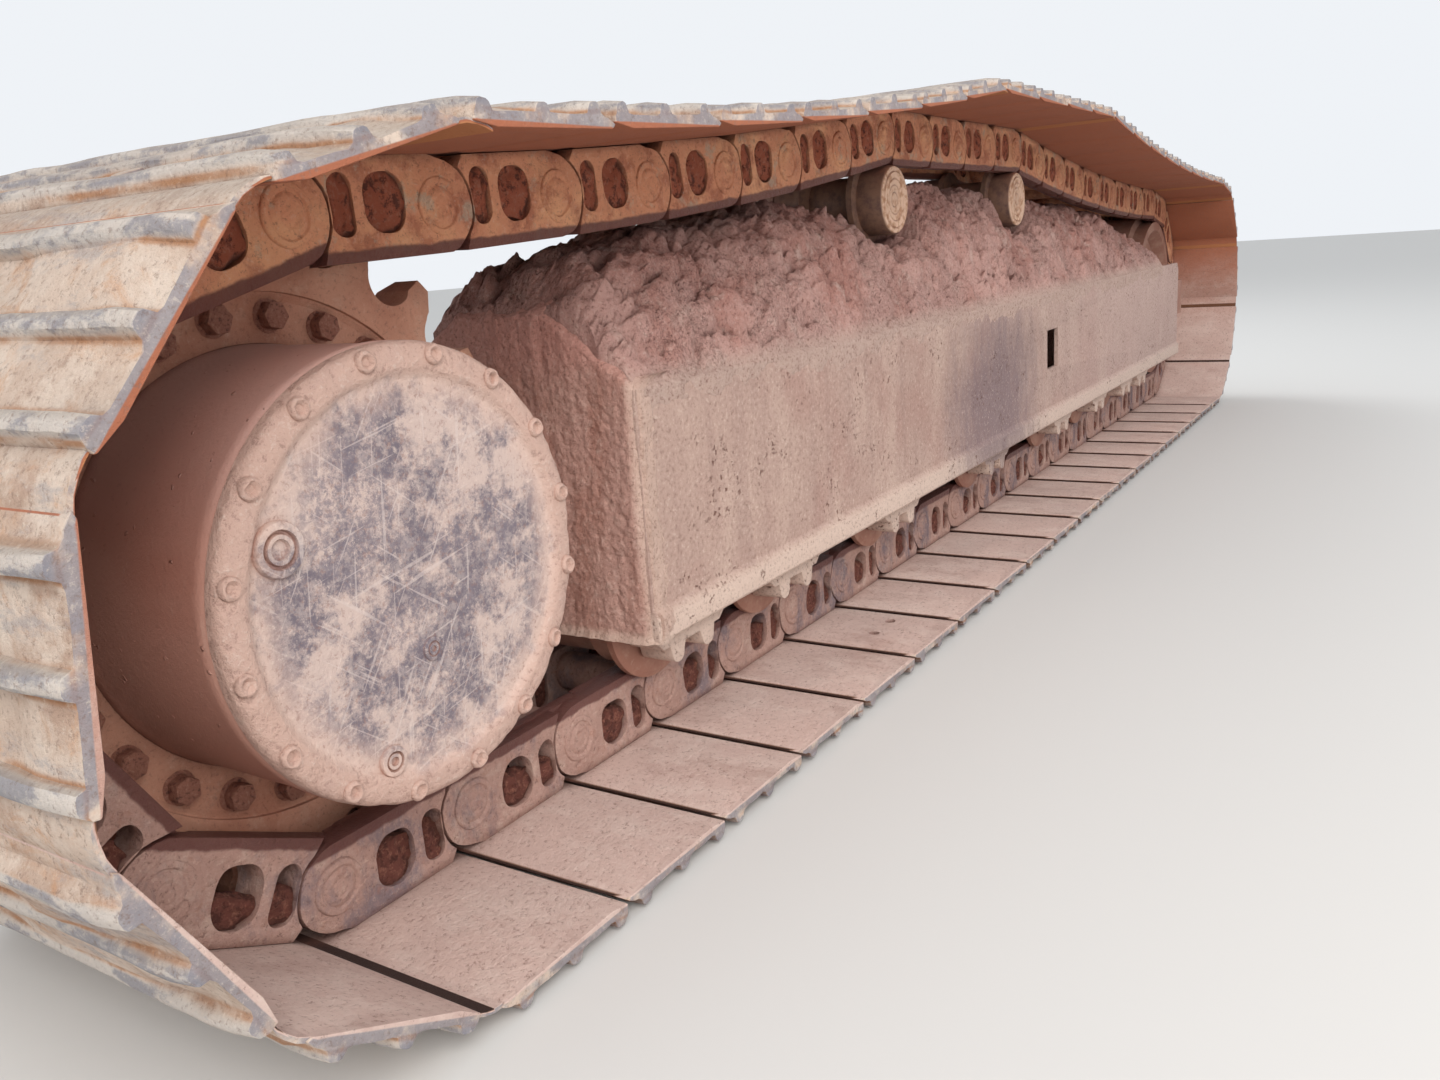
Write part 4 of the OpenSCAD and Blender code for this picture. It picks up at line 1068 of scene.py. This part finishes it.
# Painted shade above the shoulder: near black in the cracks, dark brown in the occluded hollows
split = heaped.times(heaped.cracks(0.06, 0.03, (1, 0.8, 0.8)), above, heaped.step((0.14, 4), 0.46, 0.56))
heaped.coat((0.085, 0.032, 0.025), split, 0.8)
heaped.coat((0.125, 0.046, 0.035), heaped.times(above, heaped.hollow(0.035, 0.4, 0.95)), 0.75)
rubble = heaped.times(above, heaped.grain(0.014, 6, 0.75))
heaped_finish = heaped.done((grit, 0.0052), (split, -0.006), (rubble, 0.008))
place_piece("clay_heap", bm, heaped_finish, ["packed_clay"], smooth=75)


# ---- Carrier rollers ----
# Two forged rollers hold up the upper run. Each turns on a shaft in a bracket on the roof, its
# dark treads are rubbed smooth, and its outer end is a rusty cap with turned rings.
CARRIER_R, CARRIER_WAIST_R, SHAFT_R = 0.066, 0.05, 0.03
TREAD_OUT, TREAD_IN = 0.112, 0.072
# Rings on the cap: radius, how far they lie inside the roller's end
CAP_RINGS = ((0, 0.003), (0.012, 0.003), (0.014, 0.0045), (0.016, 0.003), (0.026, 0.0025), (0.028, 0.004),
             (0.03, 0.0025), (0.038, 0.0015), (0.04, 0.0032), (0.042, 0.001), (CARRIER_R - 0.014, 0),
             (CARRIER_R - 0.012, 0.003), (CARRIER_R - 0.009, 0.001), (CARRIER_R - 0.003, 0.002),
             (CARRIER_R, 0.007))

rusty = Finish("rusty_roller", (0.125, 0.07, 0.058), 0.5)
cap_side = rusty.level("Y", chain_y - 0.118, chain_y - 0.122)
rusty.spots((0.42, 0.235, 0.135), (0.02, 6, 0.7), 0.35, 0.6, 0.3)
rusty.coat((0.68, 0.465, 0.34), cap_side, 0.9)
rusty.spots((0.36, 0.185, 0.1), (0.012, 7), 0.45, 0.62, 0.8, cap_side)
rusty.coat((0.3, 0.16, 0.115), rusty.facing("Z", 0.3, 0.95), 0.5)
# Painted shade in the corners and grooves
rusty.paint_hollow_shade(0.02, 0.3, 0.8, 0.6)
rusty.gloss(cap_side, 0.85)
rusty_finish = rusty.done(((0.004, 5), 0.0008))

for name in ("carrier_roller_rear", "carrier_roller_front"):
    low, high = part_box(name)
    x, _, z = middle_of(name)
    rim_r = high.z - z
    half = ((CARRIER_R, 0.004), (rim_r, 0.008), (rim_r, 0.02), (CARRIER_WAIST_R, 0.028))
    bm = bmesh.new()
    turn(bm, from_face(low.y, CAP_RINGS) + from_face(chain_y - TREAD_IN, half)
         + from_face(chain_y + TREAD_IN, [(radius, -y) for radius, y in reversed(half)])
         + from_face(chain_y + TREAD_OUT, ((CARRIER_R, 0.004), (SHAFT_R, 0.006)))
         + [(SHAFT_R, high.y), (0, high.y)], x, z, 72)
    place_piece(name.replace("carrier_roller", "upper_roller"), bm, rusty_finish, [name])


# ---- Track rollers and collars ----
# Eight double-flange rollers carry the frame on the lower run. Their shafts end in cast
# collars bolted under the frame, coated with pale clay and rounded by it.
collars = cad_copy("roller_collars", 0.006)
bmesh.ops.subdivide_edges(collars, edges=[e for e in collars.edges if e.calc_length() > 0.03], cuts=1)
roughen(collars.verts, (0.0015, 0.03))
place_piece("shaft_collars", collars, plate_finish, ["roller_collars"], smooth=50)

flanged = Finish("flanged_roller", (0.3, 0.145, 0.105), 0.6)
flanged.spots((0.4, 0.235, 0.175), (0.05, 6), 0.42, 0.65, 0.7)
flanged.spots((0.47, 0.33, 0.25), (0.012, 6, 0.7), 0.55, 0.7, 0.4)
# Painted shade in corners and gaps
flanged.paint_hollow_shade(0.05, 0.2, 0.75, 0.75)
flanged_finish = flanged.done(((0.004, 5), 0.0007))


def coat_node(name, material):
    """Gives a solid that stays as it is its material"""
    nodes[name].data.materials.clear()
    nodes[name].data.materials.append(material)


for k in range(1, 9):
    coat_node(f"track_roller_{k}", flanged_finish)


# ---- Idler and its gear ----
# The cast front wheel turns on an axle between two blocks that slide in the frame. A yoke
# joins the blocks to a strong coil spring and the greased adjuster behind it.
SPRING_R, WIRE_R, SPRING_TURNS, SPRING_CORE_R = 0.095, 0.019, 11, 0.05
STEPS_A_TURN = 28

for name in ("idler", "idler_axle", "idler_blocks", "idler_yoke", "track_adjuster"):
    coat_node(name, flanged_finish)

spring_low, spring_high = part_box("recoil_spring")
spring_x, _, spring_z = middle_of("recoil_spring")
spring_long = spring_high.x - spring_low.x
bm = bmesh.new()
bmesh.ops.create_circle(bm, segments=12, radius=WIRE_R,
                        matrix=at(spring_low.x + WIRE_R, chain_y, spring_z + SPRING_R - WIRE_R) @ ACROSS)
steps = SPRING_TURNS * STEPS_A_TURN
bmesh.ops.spin(bm, geom=bm.verts[:] + bm.edges[:], cent=(0, chain_y, spring_z), axis=(1, 0, 0),
               dvec=((spring_long - 2 * WIRE_R) / steps, 0, 0), angle=SPRING_TURNS * tau, steps=steps,
               use_duplicate=False)
bmesh.ops.holes_fill(bm, edges=[e for e in bm.edges if e.is_boundary], sides=12)
add_disc(bm, 32, SPRING_CORE_R, SPRING_CORE_R, spring_long,
         at(spring_x, chain_y, spring_z) @ Matrix.Rotation(radians(90), 4, "Y"))
place_piece("coil_spring", bm, rusty_finish, ["recoil_spring"])


# ---- Brackets, motor and body joints ----
# The inner side: brackets of the carrier rollers, the thick plate with the fixed hub, the
# travel motor behind its guard, and two box stubs that bolt to the machine's middle.
for name, width, finish, slot in (("carrier_brackets", 0.002, plate_finish, "frame"),
                                  ("drive_bracket", 0.004, plate_finish, "frame"),
                                  ("travel_motor", 0.003, flanged_finish, "motor"),
                                  ("motor_guard", 0.002, plate_finish, "frame"),
                                  ("drive_hub", 0.003, flanged_finish, "motor"),
                                  ("stub_rear", 0.003, plate_finish, "frame"),
                                  ("stub_front", 0.003, plate_finish, "frame")):
    place_piece(name + "_dusty", cad_copy(name, width), finish, [name])
